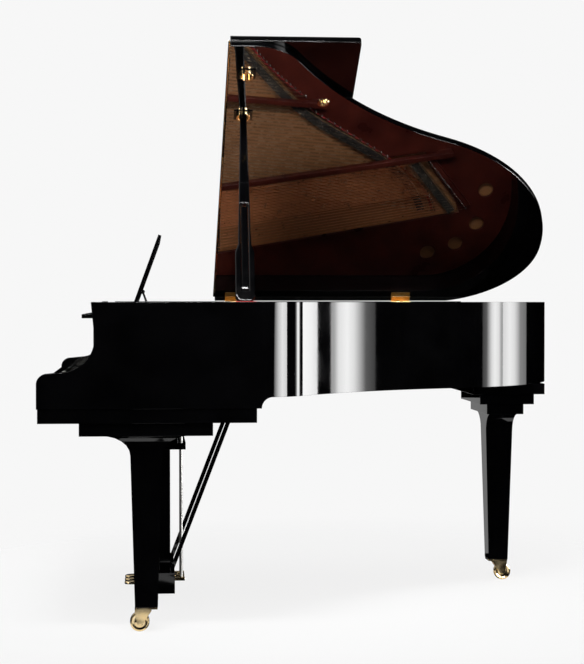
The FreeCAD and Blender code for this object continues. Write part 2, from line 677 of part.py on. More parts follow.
def build_plate():
    start = front + s.plate_setback
    panel = slab(case_face(s.rim_wall + s.plate_clearance, start), plate_bottom, s.plate_thickness)
    panel = panel.cut([window(TENOR_STEPS), window(BASS_STEPS)])
    edges, begin, finish = case_chain(s.rim_wall + s.plate_hole_inset, start)
    holes = []
    for edge in edges[2:5]:
        for share in HOLE_SHARES:
            spot = edge.valueAt(edge.FirstParameter + share * (edge.LastParameter - edge.FirstParameter))
            spot.z = float(plate_bottom)
            holes.append(Part.makeCylinder(float(s.plate_hole) / 2, float(s.plate_thickness), spot))
    panel = panel.cut(holes)
    tops = []
    for first_note in SECTION_STARTS:
        line = string_line(first_note)
        beside = string_line(first_note - 1)
        reach = max((line.hitch - line.agraffe).Length, (beside.hitch - beside.agraffe).Length)
        tops.append(strut(first_note, reach + 2 * float(s.strut_foot)))
    keep(feature(panel.fuse(tops)), "iron_plate")
    keep(box(start, -inside, plate_bottom - s.pin_block_thickness, s.pin_block_length, 2 * inside,
             s.pin_block_thickness), "pin_block")


# Keyboard: keys grouped by note name, on a sliding key frame
NAMES = ("a", "a_sharp", "b", "c", "c_sharp", "d", "d_sharp", "e", "f", "f_sharp", "g", "g_sharp")
LOWER_SET = ("c", "c_sharp", "d", "d_sharp", "e")
UPPER_SET = ("f", "f_sharp", "g", "g_sharp", "a", "a_sharp", "b")
WHITES = ("c", "d", "e", "f", "g", "a", "b")
GROUPS = (("c", "f"), ("d", "g"), ("e", "a"), ("b",), ("c_sharp", "f_sharp", "a_sharp"),
          ("d_sharp", "g_sharp"))


def note_name(note):
    return NAMES[(note - 1) % OCTAVE]


def notes_of(names):
    """All notes on the keyboard that have one of these names."""
    return [note for note in range(1, NOTES + 1) if note_name(note) in names]


def key_edges(note):
    """Bass and treble edge of a key's head and of its narrower tail."""
    name = note_name(note)
    pitch = float(s.key_pitch)
    gap = float(s.key_gap) / 2
    below = [note_name(lower) for lower in range(1, note)]
    whites_below = sum(lower in WHITES for lower in below)
    keys = LOWER_SET if name in LOWER_SET else UPPER_SET
    whites = [key for key in keys if key in WHITES]
    passed = sum(key in WHITES for key in keys[:keys.index(name)])
    set_start = float(keyboard_half) - (whites_below - passed) * pitch
    width = len(whites) * pitch / len(keys)
    tail_start = set_start - keys.index(name) * width
    narrow = [tail_start - gap, tail_start - width + gap]
    if name not in WHITES:
        return narrow, narrow
    head_start = float(keyboard_half) - whites_below * pitch
    head = [head_start - gap, head_start - pitch + gap]
    if note == 1:
        narrow[0] = head[0]
    if note == NOTES:
        narrow[1] = head[1]
    return head, narrow


def natural_key(note):
    head, narrow = key_edges(note)
    gap = float(s.key_gap) / 100
    near = float(front + s.key_setback)
    mid = near + float(s.key_head)
    far = near + float(s.key_length)
    outline = [(near, head[0]), (near, head[1]), (mid, head[1]), (mid, narrow[1]),
               (far, narrow[1]), (far, narrow[0]), (mid, narrow[0]), (mid, head[0])]
    corners = [Vector(x, y, float(key_bottom)) for x, y in outline]
    kept = [corner for corner, last in zip(corners, corners[-1:] + corners)
            if corner.distanceToPoint(last) > gap]
    return prism(kept, Vector(0, 0, float(s.key_height)))


def sharp_key(note):
    wide, narrow = key_edges(note)
    near = float(front + s.key_setback + s.sharp_setback)
    far = float(front + s.key_setback + s.key_length)
    step = near + float(s.sharp_length)
    low = float(key_bottom)
    high = float(key_top)
    top = high + float(s.sharp_rise)
    bevel = float(s.sharp_bevel)
    run = [(near, low), (far, low), (far, high), (step + bevel, high), (step, top), (near + bevel, top),
           (near, high)]
    corners = [Vector(x, narrow[1], z) for x, z in run]
    return prism(corners, Vector(0, narrow[0] - narrow[1], 0))


def build_keys():
    for names in GROUPS:
        keys = []
        for note in notes_of(names):
            keys.append(natural_key(note) if note_name(note) in WHITES else sharp_key(note))
        keep(feature(Part.makeCompound(keys)), "keys_" + "_".join(names))


def build_key_frame():
    floor = keybed_top + s.rest_gap
    reach = keyboard_half + s.action_side_gap + s.action_bracket
    rear = front + s.key_setback + s.key_length
    pivot_x = front + s.balance_setback
    pivot_z = key_bottom - s.rest_gap - s.key_pivot_radius
    rails = [
        box(front + s.key_setback, -keyboard_half, floor, s.rail_depth, 2 * keyboard_half,
            s.front_rail_height),
        box(pivot_x - s.rail_depth / 2, -reach, floor, s.rail_depth, 2 * reach,
            pivot_z - s.key_pivot_radius / 2 - floor),
        rod(pivot_x, -reach, pivot_z, s.key_pivot_radius, 2 * reach, Vector(0, 1, 0)),
        box(rear - s.rail_depth, -reach, floor, s.rail_depth, 2 * reach, key_bottom - s.rest_gap - floor),
    ]
    members = [box(front + s.key_setback, where, floor, s.key_length, s.rail_depth, s.front_rail_height / 2)
               for where in (-keyboard_half, -s.rail_depth / 2, keyboard_half - s.rail_depth)]
    keep(fuse(*rails, *members), "key_frame")
    hammer_x = front + s.hammer_pivot_setback
    hammer_z = keybed_top + s.hammer_pivot_lift
    rail_half = s.hammer_rail_half
    rail_top = hammer_z - s.hammer_pivot_radius / 2
    foot = key_bottom - s.rest_gap
    parts = [
        box(hammer_x - rail_half, -reach, rail_top - s.hammer_rail_height, 2 * rail_half, 2 * reach,
            s.hammer_rail_height),
        rod(hammer_x, -reach, hammer_z, s.hammer_pivot_radius, 2 * reach, Vector(0, 1, 0)),
    ]
    for where in (reach - s.action_bracket / 2, s.action_bracket / 2 - reach):
        parts.append(bar([
            (rear - s.rail_depth, foot), (rear, foot), (hammer_x + rail_half, rail_top),
            (hammer_x - rail_half, rail_top), (hammer_x - rail_half, rail_top - s.hammer_rail_height)],
            s.action_bracket, y=where))
    keep(fuse(*parts), "hammer_rail")


# Hammers on their rail and dampers on the strings
def hammer(note):
    reach = float(s.hammer_reach) + (float(s.bass_rise) if note <= BASS_NOTES else 0)
    base = float(s.hammer_pivot_radius + s.rest_gap)
    shank = base + float(s.hammer_shank)
    half = float(s.hammer_head_depth) / 2
    length = float(s.hammer_length)
    shoulder = base + float(s.hammer_shoulder_share) * (reach - base)
    run = [(-float(s.hammer_butt), base), (length + half, base), (length + half, shoulder), (length, reach),
           (length - half, shoulder), (length - half, shank), (-float(s.hammer_butt), shank)]
    drop = math.radians(float(s.hammer_rest))
    pivot = Vector(float(front + s.hammer_pivot_setback), 0, float(keybed_top + s.hammer_pivot_lift))
    pivot.y = note_place(note) - float(s.hammer_width) / 2
    along = Vector(math.cos(drop), 0, -math.sin(drop))
    upward = Vector(math.sin(drop), 0, math.cos(drop))
    return prism([pivot + along * u + upward * v for u, v in run], Vector(0, float(s.hammer_width), 0))


def build_hammers():
    for names in GROUPS:
        heads = [hammer(note) for note in notes_of(names)]
        keep(feature(Part.makeCompound(heads)), "hammers_" + "_".join(names))


def build_dampers():
    x = float(front + s.damper_setback)
    rail_bottom = float(keybed_top + s.damper_rail_lift)
    rail_top = rail_bottom + float(s.damper_rail_height)
    half = float(s.damper_length) / 2
    wire = float(s.damper_wire) / 2
    pieces = []
    for note in range(1, DAMPED_NOTES + 1):
        line = string_line(note)
        bass = note <= BASS_NOTES
        level = float(bass_level if bass else string_level)
        level += float(s.bass_string_thickness if bass else s.string_thickness) / 2 + float(s.rest_gap)
        across = Vector(-line.along.y, line.along.x, 0)
        centre = line.strike + line.along * ((x - line.strike.x) / line.along.x)
        centre.z = level
        edge = float(s.damper_wire_place) + wire
        inner = edge - float(s.damper_width)
        corners = [centre + line.along * u + across * v
                   for u, v in ((-half, inner), (half, inner), (half, edge), (-half, edge))]
        pieces.append(prism(corners, Vector(0, 0, float(s.damper_height))))
        stem = centre + across * float(s.damper_wire_place)
        stem.z = rail_top
        ring = [stem + Vector(wire * math.cos(turn), wire * math.sin(turn), 0)
                for turn in (0, 2 * math.pi / 3, 4 * math.pi / 3)]
        pieces.append(prism(ring, Vector(0, 0, level - rail_top)))
    bass_end = note_place(1) + float(s.note_pitch)
    treble_end = note_place(DAMPED_NOTES) - float(s.note_pitch)
    depth = float(s.damper_rail_depth)
    corner = Vector(x - depth / 2, treble_end, rail_bottom)
    pieces.append(Part.makeBox(depth, bass_end - treble_end, rail_top - rail_bottom, corner))
    keep(feature(Part.makeCompound(pieces)), "dampers")


# Fallboard with its pins
def build_fallboard():
    pivot_x, pivot_z = fall_pivot()
    near = front + s.fall_setback
    low = keybed_top + s.fall_lift
    high = low + s.fall_height
    half = inside - s.fall_side_gap
    board = bar([
        (near, low), (near + s.fall_thickness, low), (near + s.fall_thickness, high),
        (near - s.fall_lip_depth, high), (near - s.fall_lip_depth, high - s.fall_lip_thickness),
        (near, high - s.fall_lip_thickness)], 2 * half)
    pins = rod(pivot_x, -half - s.fall_pin_length, pivot_z, s.fall_pin_radius, 2 * (half + s.fall_pin_length),
               Vector(0, 1, 0))
    keep(fuse(board, pins), "fallboard")


# Music desk: tray on side rails, tilting panel and two folding struts
def desk_pivot():
    return front + s.desk_pivot_setback, rim_top - s.tray_depth + s.desk_foot_radius + s.rest_gap


def settled(item, place):
    """The finished form of an item, turned and set as one rigid piece."""
    doc.recompute()
    return feature(item.Shape.copy(), place)


def build_desk():
    tray_top = rim_top - s.tray_depth
    tray_bottom = tray_top - s.tray_thickness
    half = inside - s.tray_side_gap
    near = front + s.tray_setback
    pivot_x, pivot_z = desk_pivot()
    rail_z = tray_bottom - s.rest_gap - s.tray_rail_height
    rail_x = near - s.rail_depth
    rail_length = front + prop_setback - s.prop_plate_width / 2 - s.tray_rail_clear - rail_x
    rails = [box(rail_x, where, rail_z, rail_length, s.tray_rail_width, s.tray_rail_height)
             for where in (-inside, inside - s.tray_rail_width)]
    group("desk_rails", rails)
    hinge = s.desk_hinge_length
    third = hinge / 3
    board = box(near, -half, tray_bottom, s.tray_length, 2 * half, s.tray_thickness)
    opening = box(near + (s.tray_length - s.tray_window_length) / 2, -s.tray_window_width / 2, tray_bottom,
                  s.tray_window_length, s.tray_window_width, s.tray_thickness)
    pieces = [box(near, -s.desk_width / 2, tray_top, s.tray_lip_depth, s.desk_width, s.tray_lip)]
    knuckles = []
    radius = s.desk_hinge_radius
    for turn in (-1, 1):
        middle = turn * s.desk_width * s.desk_hinge_share
        for shift in (-hinge / 2, hinge / 6):
            pieces.append(box(pivot_x - radius, middle + shift, tray_top, 2 * radius, third,
                              pivot_z - tray_top))
            pieces.append(rod(pivot_x, middle + shift, pivot_z, radius, third, Vector(0, 1, 0)))
        pieces.append(rod(pivot_x, middle - hinge / 2, pivot_z, radius / 2, hinge, Vector(0, 1, 0)))
        width = third - 2 * s.side_play
        knuckles.append(rod(0, middle - width / 2, 0, radius, width, Vector(0, 1, 0)))
        knuckles.append(box(-radius, middle - width / 2, 0, 2 * radius, width, s.desk_standoff))
    keep(fuse(cut(board, opening), *pieces), "desk_tray")

    face = s.desk_standoff + s.desk_thickness
    panel = bar([(0, s.desk_standoff), (s.desk_height, s.desk_standoff), (s.desk_height, face), (0, face)],
                s.desk_width)
    bores = [rod(0, -s.desk_width / 2, 0, radius / 2 + s.pin_clearance, s.desk_width, Vector(0, 1, 0))]
    lugs = []
    struts = []
    reach = s.strut_arm
    thick = s.desk_strut_thickness
    width = s.desk_strut_width
    trunnion = s.desk_hinge_radius - s.side_play
    for turn in (-1, 1):
        middle = turn * s.desk_width * s.desk_strut_share
        for shift in (-width / 2 - s.side_play - thick, width / 2 + s.side_play):
            lugs.append(box(reach - thick, middle + shift, -s.strut_lug_drop, 2 * thick, thick,
                            s.desk_standoff + thick))
        bores.append(rod(reach, middle - width, 0, trunnion + s.pin_clearance, 2 * width, Vector(0, 1, 0)))
        struts.append(fuse(
            box(0, middle - width / 2, -thick / 2, reach, width, thick),
            rod(0, middle - width / 2 - thick, 0, trunnion, width + 2 * thick, Vector(0, 1, 0)),
            rod(0, middle - width / 2, 0, thick / 2, width, Vector(0, 1, 0)),
            rod(reach, middle - width / 2, 0, s.desk_foot_radius, width, Vector(0, 1, 0))))
    tilt = float(s.desk_tilt)
    hinge_line = Vector(float(pivot_x), 0, float(pivot_z))
    upright = Placement(hinge_line, Rotation(Vector(0, -1, 0), tilt))
    keep(settled(cut(fuse(panel, *knuckles, *lugs), *bores), upright), "desk_panel")
    arm_end = upright.multVec(Vector(float(reach), 0, 0))
    legs = [settled(item, Placement(arm_end, Rotation(Vector(0, 1, 0), tilt))) for item in struts]
    group("desk_struts", legs)


# Lid: main leaf and folded front flap, built closed and then swung open about the bass-side hinges
def lid_axis():
    return Vector(0, float(side + s.hinge_offset), float(rim_top + s.lid_gap / 2))


def lid_open():
    return Placement(Vector(0, 0, 0), Rotation(Vector(-1, 0, 0), float(s.lid_angle)), lid_axis())


# Knuckles on each barrel
SIDE_KNUCKLES = 3
FLAP_KNUCKLES = 5


def knuckle_row(start, length, count, radius, bore, x_axis, centre, first):
    """Every second knuckle of a hinge barrel, bored for its pin where a bore is given."""
    pieces = []
    step = length / count
    gap = float(s.side_play) / 2
    for index in range(first, count, 2):
        spot = centre + x_axis * (start + index * step + gap)
        tube = Part.makeCylinder(radius, step - 2 * gap, spot, x_axis)
        if bore:
            tube = tube.cut(Part.makeCylinder(bore, step, spot - x_axis * gap, x_axis))
        pieces.append(tube)
    return pieces


def side_hinge(place):
    """Two leaves of a bass-side hinge: one on the rim's top, one under the lid, on a shared pin."""
    axis = lid_axis()
    along = Vector(1, 0, 0)
    length = float(s.hinge_length)
    begin = float(front) + place - length / 2
    knuckle = float(s.hinge_knuckle)
    pin = float(s.hinge_pin)
    barrel = Vector(0, axis.y, axis.z)
    leaf = float(s.hinge_leaf)
    reach = axis.y - float(s.hinge_leaf_wrap)
    low = Part.makeBox(length, float(s.hinge_leaf_width), leaf,
                       Vector(begin, reach - float(s.hinge_leaf_width), float(rim_top)))
    high = low.copy()
    high.translate(Vector(0, 0, float(s.lid_gap) - leaf))
    rim_row = knuckle_row(begin, length, SIDE_KNUCKLES, knuckle, 0, along, barrel, 0)
    rod_piece = Part.makeCylinder(pin, length, barrel + along * begin, along)
    bore = pin + float(s.pin_clearance)
    lid_row = knuckle_row(begin, length, SIDE_KNUCKLES, knuckle, bore, along, barrel, 1)
    room_radius = knuckle + float(s.side_play)
    step = length / SIDE_KNUCKLES
    room = [Part.makeCylinder(room_radius, step, piece.BoundBox.Center - along * (step / 2), along)
            for piece in rim_row + lid_row]
    low = low.cut(room[len(rim_row):])
    high = high.cut(room[:len(rim_row)])
    bore = Part.makeCylinder(pin + float(s.pin_clearance), length, barrel + along * begin, along)
    return low.fuse(rim_row + [rod_piece]), high.fuse(lid_row).cut(bore)


def build_lid():
    bottom = rim_top + s.lid_gap
    top = float(bottom + s.lid_thickness)
    opened = lid_open()
    sheet_face = slab(case_face(-s.lid_overhang, front + lid_front + s.flap_gap), bottom, s.lid_thickness)
    trim = Part.makeBox(2 * float(s.case_length), 2 * float(case_width), float(s.lid_thickness),
                        Vector(float(front), float(side) - 2 * float(case_width), float(bottom)))
    keep(feature(sheet_face.common(trim), opened), "lid_main")

    rim_leaves = []
    lid_leaves = []
    for place in (float(treble_straight), float(s.case_length * s.rear_hinge_share)):
        low, high = side_hinge(place)
        rim_leaves.append(low)
        lid_leaves.append(high)
    keep(feature(Part.makeCompound(rim_leaves)), "lid_hinge_rim_leaves")

    edge_x = float(front + lid_front)
    gap = float(s.flap_gap)
    length = float(lid_front - s.flap_front) - gap
    near = -float(side + s.lid_overhang)
    width = float(side) - near
    above = top + 2 * float(s.flap_lift)
    flap = Part.makeBox(length, width, float(s.lid_thickness), Vector(edge_x + gap, near, above))
    rounded = [edge for edge in flap.Edges
               if abs(edge.BoundBox.XMin - flap.BoundBox.XMax) < 0.01 and edge.BoundBox.ZLength > 1]
    flap = flap.makeFillet(float(s.lid_overhang), rounded)
    keep(feature(flap, opened), "lid_flap")

    knuckle = float(s.flap_knuckle)
    pin = float(s.flap_pin)
    axis = Vector(edge_x, 0, top + float(s.flap_lift))
    along = Vector(0, 1, 0)
    bore = pin + float(s.pin_clearance)
    lid_row = knuckle_row(near, width, FLAP_KNUCKLES, knuckle, 0, along, axis, 0)
    flap_row = knuckle_row(near, width, FLAP_KNUCKLES, knuckle, bore, along, axis, 1)
    tabs = []
    for row, low in ((lid_row, axis.z - knuckle), (flap_row, axis.z + float(s.flap_lift))):
        for piece in row:
            box_of = piece.BoundBox
            tabs.append(Part.makeBox(gap, box_of.YLength, knuckle - float(s.flap_lift),
                                     Vector(edge_x, box_of.YMin, low)))
    pin_rod = Part.makeCylinder(pin, width, axis + along * near, along)
    bore_rod = Part.makeCylinder(bore, width, axis + along * near, along)
    lid_leaf = lid_row[0].fuse(lid_row[1:] + tabs[:len(lid_row)] + [pin_rod])
    flap_tabs = tabs[len(lid_row):]
    flap_leaf = Part.makeCompound([tube.fuse(tab).cut(bore_rod) for tube, tab in zip(flap_row, flap_tabs)])
    keep(feature(flap_leaf, opened), "flap_hinge_knuckles")

    cups = []
    for reach in (s.long_cup_reach, s.short_cup_reach):
        spot = Vector(float(front + prop_tip_setback), lid_axis().y - float(reach), float(bottom))
        low = spot - Vector(0, 0, float(s.cup_plate))
        corner = low - Vector(float(s.cup_length) / 2, float(s.cup_width) / 2, 0)
        plate = Part.makeBox(float(s.cup_length), float(s.cup_width), float(s.cup_plate), corner)
        dish = Part.makeCylinder(float(s.cup_dish), float(s.cup_recess), low)
        cups.append(plate.cut(dish))
    keep(feature(Part.makeCompound(lid_leaves + [lid_leaf] + cups), opened), "lid_hardware")


# Lid props: the long stick in its bracket and the short stick nested in its slot
def prop_frame():
    """Pivot, directions and length of the long stick, from its bracket to just under the open lid's cup."""
    base = Vector(float(front + prop_setback), -float(inside - s.prop_inset), float(rim_top - s.prop_drop))
    bottom = float(rim_top + s.lid_gap)
    dish_floor = bottom - float(s.cup_plate - s.cup_recess) - float(s.prop_tip_gap)
    cup = Vector(float(front + prop_tip_setback), lid_axis().y - float(s.long_cup_reach), dish_floor)
    tip = lid_open().multVec(cup)
    up = (tip - base).normalize()
    flat = (Vector(1, 0, 0) - up * up.x).normalize()
    folded = Vector(1, 1, 0).normalize()
    axis = up.cross(folded).normalize()
    place = Placement(base, Rotation(flat, up.cross(flat), up, "ZXY"))
    return SimpleNamespace(base=base, flat=flat, axis=axis, length=(tip - base).Length, place=place)


def build_props():
    frame = prop_frame()
    local_axis = frame.place.Rotation.inverted().multVec(frame.axis)
    wide = float(s.prop_paddle_width) / 2
    waist = float(s.prop_waist_width) / 2
    slim = float(s.prop_tip_width) / 2
    rise = float(s.prop_rise)
    paddle = rise + float(s.prop_paddle_length)
    neck = paddle + float(s.prop_shoulder)
    thick = float(s.prop_thickness)
    sill = float(s.prop_sill)
    half_run = [(sill, rise), (wide, rise + sill), (wide, paddle), (waist, neck), (slim, frame.length)]
    run = half_run + [(-u, v) for u, v in half_run[::-1]]
    stick = prism([Vector(u, -thick / 2, v) for u, v in run], Vector(0, thick, 0))
    slot_low = rise + float(s.prop_slot_start)
    slot_high = slot_low + float(s.prop_slot_length)
    slot_width = float(s.prop_slot_width)
    slot_corner = Vector(-slot_width / 2, -thick, slot_low)
    slot = Part.makeBox(slot_width, 2 * thick, slot_high - slot_low, slot_corner)
    pivot_z = slot_low + thick / 2 + float(s.short_prop_gap)
    pin = float(s.prop_pin_radius)
    clear = float(s.pin_clearance)
    hold = float(s.prop_pin_hold)
    hole_start = Vector(-slot_width / 2 - hold, 0, pivot_z)
    hole = Part.makeCylinder(pin + clear, slot_width + 2 * hold, hole_start, Vector(1, 0, 0))
    eye_half = float(s.prop_eye_width) / 2
    eye_radius = float(s.prop_eye_radius)
    eye = Part.makeCylinder(eye_radius, 2 * eye_half, local_axis * -eye_half, local_axis)
    stem = Part.makeCylinder(float(s.prop_neck), rise + thick, Vector(0, 0, 0))
    bore = Part.makeCylinder(pin + clear, 4 * eye_half, local_axis * (-2 * eye_half), local_axis)
    stem = stem.common(Part.makeBox(2 * thick, thick, 3 * thick, Vector(-thick, -thick / 2, 0)))
    long_prop = stick.cut([slot, hole]).fuse([eye, stem.cut(slot)]).cut(bore)
    keep(feature(long_prop, frame.place), "long_prop")

    half = float(s.short_prop_width) / 2
    depth = thick / 2 - float(s.short_prop_gap)
    reach = slot_high - pivot_z - float(s.short_prop_gap)
    body = Part.makeBox(2 * half, 2 * depth, reach, Vector(-half, -depth, pivot_z))
    heel = Part.makeCylinder(depth, 2 * half, Vector(-half, 0, pivot_z), Vector(1, 0, 0))
    reach_pin = slot_width / 2 + hold - float(s.pin_end_gap)
    cross_pin = Part.makeCylinder(pin, 2 * reach_pin, Vector(-reach_pin, 0, pivot_z), Vector(1, 0, 0))
    fork = Part.makeBox(half, 4 * depth, half, Vector(-half / 2, -2 * depth, pivot_z + reach - half))
    keep(feature(body.fuse([heel, cross_pin]).cut(fork), frame.place), "short_prop")

    wall = float(s.prop_bracket_wall)
    gap = float(s.side_play)
    across = local_axis
    beside = Vector(0, 0, 1).cross(across)
    outer = eye_half + gap + wall
    ears = []
    for turn in (-1, 1):
        inner_face = across * (turn * (eye_half + gap))
        ears.append(Part.makeCylinder(eye_radius, wall, inner_face, across * turn))
        edge = beside * eye_radius
        drop = Vector(0, 0, -2 * eye_radius)
        low = [inner_face - edge, inner_face + edge, inner_face + edge + drop, inner_face - edge + drop]
        ears.append(prism(low, across * (turn * wall)))
    floor_level = -eye_radius - gap
    sole = [across * (outer * u) + beside * (eye_radius * v) + Vector(0, 0, floor_level)
            for u, v in ((-1, -1), (1, -1), (1, 1), (-1, 1))]
    sole = prism(sole, Vector(0, 0, -2 * eye_radius - floor_level))
    pivot_pin = Part.makeCylinder(pin, 2 * outer, across * -outer, across)
    clevis = sole.fuse(ears + [pivot_pin])
    clevis.Placement = frame.place
    plate_height = float(s.prop_plate_height)
    half_plate = float(s.prop_plate_width) / 2
    wall_face = -float(inside)
    wall_plate = Part.makeBox(2 * half_plate, float(s.prop_plate_thickness), plate_height,
                              Vector(frame.base.x - half_plate, wall_face, frame.base.z - plate_height))
    arm = Part.makeBox(eye_radius * 2, frame.base.y - wall_face, float(s.prop_arm_height),
                       Vector(frame.base.x - eye_radius, wall_face, frame.base.z - float(s.prop_arm_drop)))
    keep(feature(clevis.fuse([wall_plate, arm])), "prop_bracket")


# Legs with their blocks and casters; the cove at a leg's top runs through a few sections
COVE_STEPS = 6


def leg_places():
    x = front + s.leg_setback
    y = side - s.leg_inset
    return [(x, -y), (x, y), (tail - s.tail_leg_setback, s.tail_leg_side)]


def rectangle(x, y, z, length, width):
    u = length / 2
    v = width / 2
    corners = [Vector(x + i * u, y + j * v, z) for i, j in ((-1, -1), (1, -1), (1, 1), (-1, 1))]
    return Part.makePolygon(corners + corners[:1])


def leg(place, top, crown_length, crown_width):
    """Square tapered shaft that sweeps out in a cove to its block."""
    x = float(place[0])
    y = float(place[1])
    head = float(s.leg_top)
    flare = float(s.leg_flare)
    sections = [rectangle(x, y, float(s.caster_height), float(s.leg_foot), float(s.leg_foot))]
    for step in range(COVE_STEPS + 1):
        turn = math.pi / 2 * step / COVE_STEPS
        widen = 1 - math.cos(turn)
        sections.append(rectangle(x, y, float(top) - flare * (1 - math.sin(turn)),
                                  head + (float(crown_length) - head) * widen,
                                  head + (float(crown_width) - head) * widen))
    return feature(Part.makeLoft(sections, True, True))


def build_legs():
    places = leg_places()
    for place, label in zip(places, ("front_leg_treble", "front_leg_bass")):
        keep(leg(place, block_bottom, s.leg_crown_length, s.leg_crown_width), label)
    tail_top = belly - 3 * s.tail_plate_thickness
    step = 2 * s.tail_plate_step
    crown_length = s.tail_plate_length - 2 * step
    crown_width = s.tail_plate_width - 2 * step
    inset = s.tail_plate_step
    keep(leg(places[2], tail_top, crown_length - inset, crown_width - inset), "tail_leg")
    blocks = [box(x - s.leg_block_length / 2, y - s.leg_block_width / 2, block_bottom, s.leg_block_length,
                  s.leg_block_width, s.leg_block_thickness) for x, y in places[:2]]
    x, y = places[2]
    for layer in range(3):
        length = s.tail_plate_length - layer * step
        width = s.tail_plate_width - layer * step
        blocks.append(box(x - length / 2, y - width / 2, belly - (layer + 1) * s.tail_plate_thickness, length,
                          width, s.tail_plate_thickness))
    group("leg_blocks", blocks)


# The way each caster trails along the case as it stands
CASTERS = (("treble", -1), ("bass", -1), ("tail", 1))


def build_casters():
    plates = []
    plate_low = s.caster_height - s.caster_plate
    crown_top = plate_low - s.swivel_gap
    crown_low = crown_top - s.fork_crown
    half = s.wheel_width / 2 + s.wheel_side_gap
    outer = half + s.fork_cheek
    for (x, y), (label, heading) in zip(leg_places(), CASTERS):
        socket = rod(x, y, plate_low, s.pintle_radius + s.pin_clearance, s.caster_plate)
        plates.append(cut(box(x - s.caster_plate_width / 2, y - s.caster_plate_width / 2, plate_low,
                              s.caster_plate_width, s.caster_plate_width, s.caster_plate), socket))
        axle_x = x + heading * s.caster_trail
        reach = s.fork_width / 2
        near, far = (x - reach, axle_x + reach) if heading > 0 else (axle_x - reach, x + reach)
        crown = box(near, y - outer, crown_low, s.caster_trail + 2 * reach, 2 * outer, s.fork_crown)
        pintle = rod(x, y, crown_low, s.pintle_radius, s.caster_height - s.pin_end_gap - crown_low)
        axle = rod(axle_x, y - outer, s.wheel_radius, s.wheel_bore, 2 * outer, Vector(0, 1, 0))
        cheeks = [bar([
            (near, crown_low), (axle_x - reach / 2, s.wheel_radius - reach / 2),
            (axle_x + reach / 2, s.wheel_radius - reach / 2), (far, crown_low)],
            s.fork_cheek, y=y + turn * (half + s.fork_cheek / 2)) for turn in (-1, 1)]
        keep(fuse(crown, pintle, axle, *cheeks), "caster_fork_" + label)
        wheel_y = y - s.wheel_width / 2
        across = Vector(0, 1, 0)
        tread = rod(axle_x, wheel_y, s.wheel_radius, s.wheel_radius, s.wheel_width, across)
        bore = rod(axle_x, wheel_y, s.wheel_radius, s.wheel_bore + s.pin_clearance, s.wheel_width, across)
        keep(cut(tread, bore), "caster_wheel_" + label)
    group("caster_plates", plates)


# Pedal lyre, its braces, the three pedals and their rods
PEDALS = (("soft", 1), ("middle", 0), ("damper", -1))


def pedal_pivot():
    return front + s.lyre_box_setback + s.lyre_box_length / 2, s.lyre_box_bottom + s.pedal_lift


def build_lyre():
    near = front + s.lyre_box_setback
    box_top = s.lyre_box_bottom + s.lyre_box_height
    head_low = keybed_bottom - s.lyre_head_height
    pivot_x, pivot_z = pedal_pivot()
    slot_half = s.pedal_neck / 2 + s.pedal_slot_gap
    slots = []
    for label, turn in PEDALS:
        slots.append(box(near, turn * s.pedal_pitch - slot_half, s.lyre_box_bottom, s.lyre_box_length,
                         2 * slot_half, s.pedal_lift * 2))
        reach = slot_half + s.pedal_pin_length
        slots.append(rod(pivot_x, turn * s.pedal_pitch - reach, pivot_z, s.pedal_pin_radius + s.pin_clearance,
                         2 * reach, Vector(0, 1, 0)))
    keep(cut(box(near, -s.lyre_box_width / 2, s.lyre_box_bottom, s.lyre_box_length, s.lyre_box_width,
                 s.lyre_box_height), *slots), "lyre_box")
    pillar_x = near + (s.lyre_box_length - s.lyre_pillar) / 2
    pillars = [box(pillar_x, turn * s.lyre_pillar_place - s.lyre_pillar / 2, box_top, s.lyre_pillar,
                   s.lyre_pillar, head_low - box_top) for turn in (-1, 1)]
    head_x = pillar_x - (s.lyre_head_length - s.lyre_pillar) / 2
    guide = box(head_x, -s.lyre_head_width / 2, head_low, s.lyre_guide_length, s.lyre_head_width,
                s.lyre_guide_thickness)
    block = box(head_x, -s.lyre_head_width / 2, head_low, s.lyre_head_length, s.lyre_head_width,
                s.lyre_head_height)
    rod_x = front + s.pedal_rod_setback
    hole = s.pedal_rod_radius + s.rest_gap
    holes = [rod(rod_x, turn * s.pedal_pitch, head_low, hole, s.lyre_guide_thickness)
             for label, turn in PEDALS]
    group("lyre_frame", [cut(fuse(block, guide), *holes)] + pillars)
    foot_x = near + s.lyre_box_length - s.brace_width
    top_x = foot_x + s.brace_reach
    run = [(foot_x, box_top), (foot_x + s.brace_width, box_top), (top_x + s.brace_width, keybed_bottom),
           (top_x, keybed_bottom)]
    braces = [bar(run, s.brace_width, y=turn * s.brace_place) for turn in (-1, 1)]
    group("lyre_braces", braces)


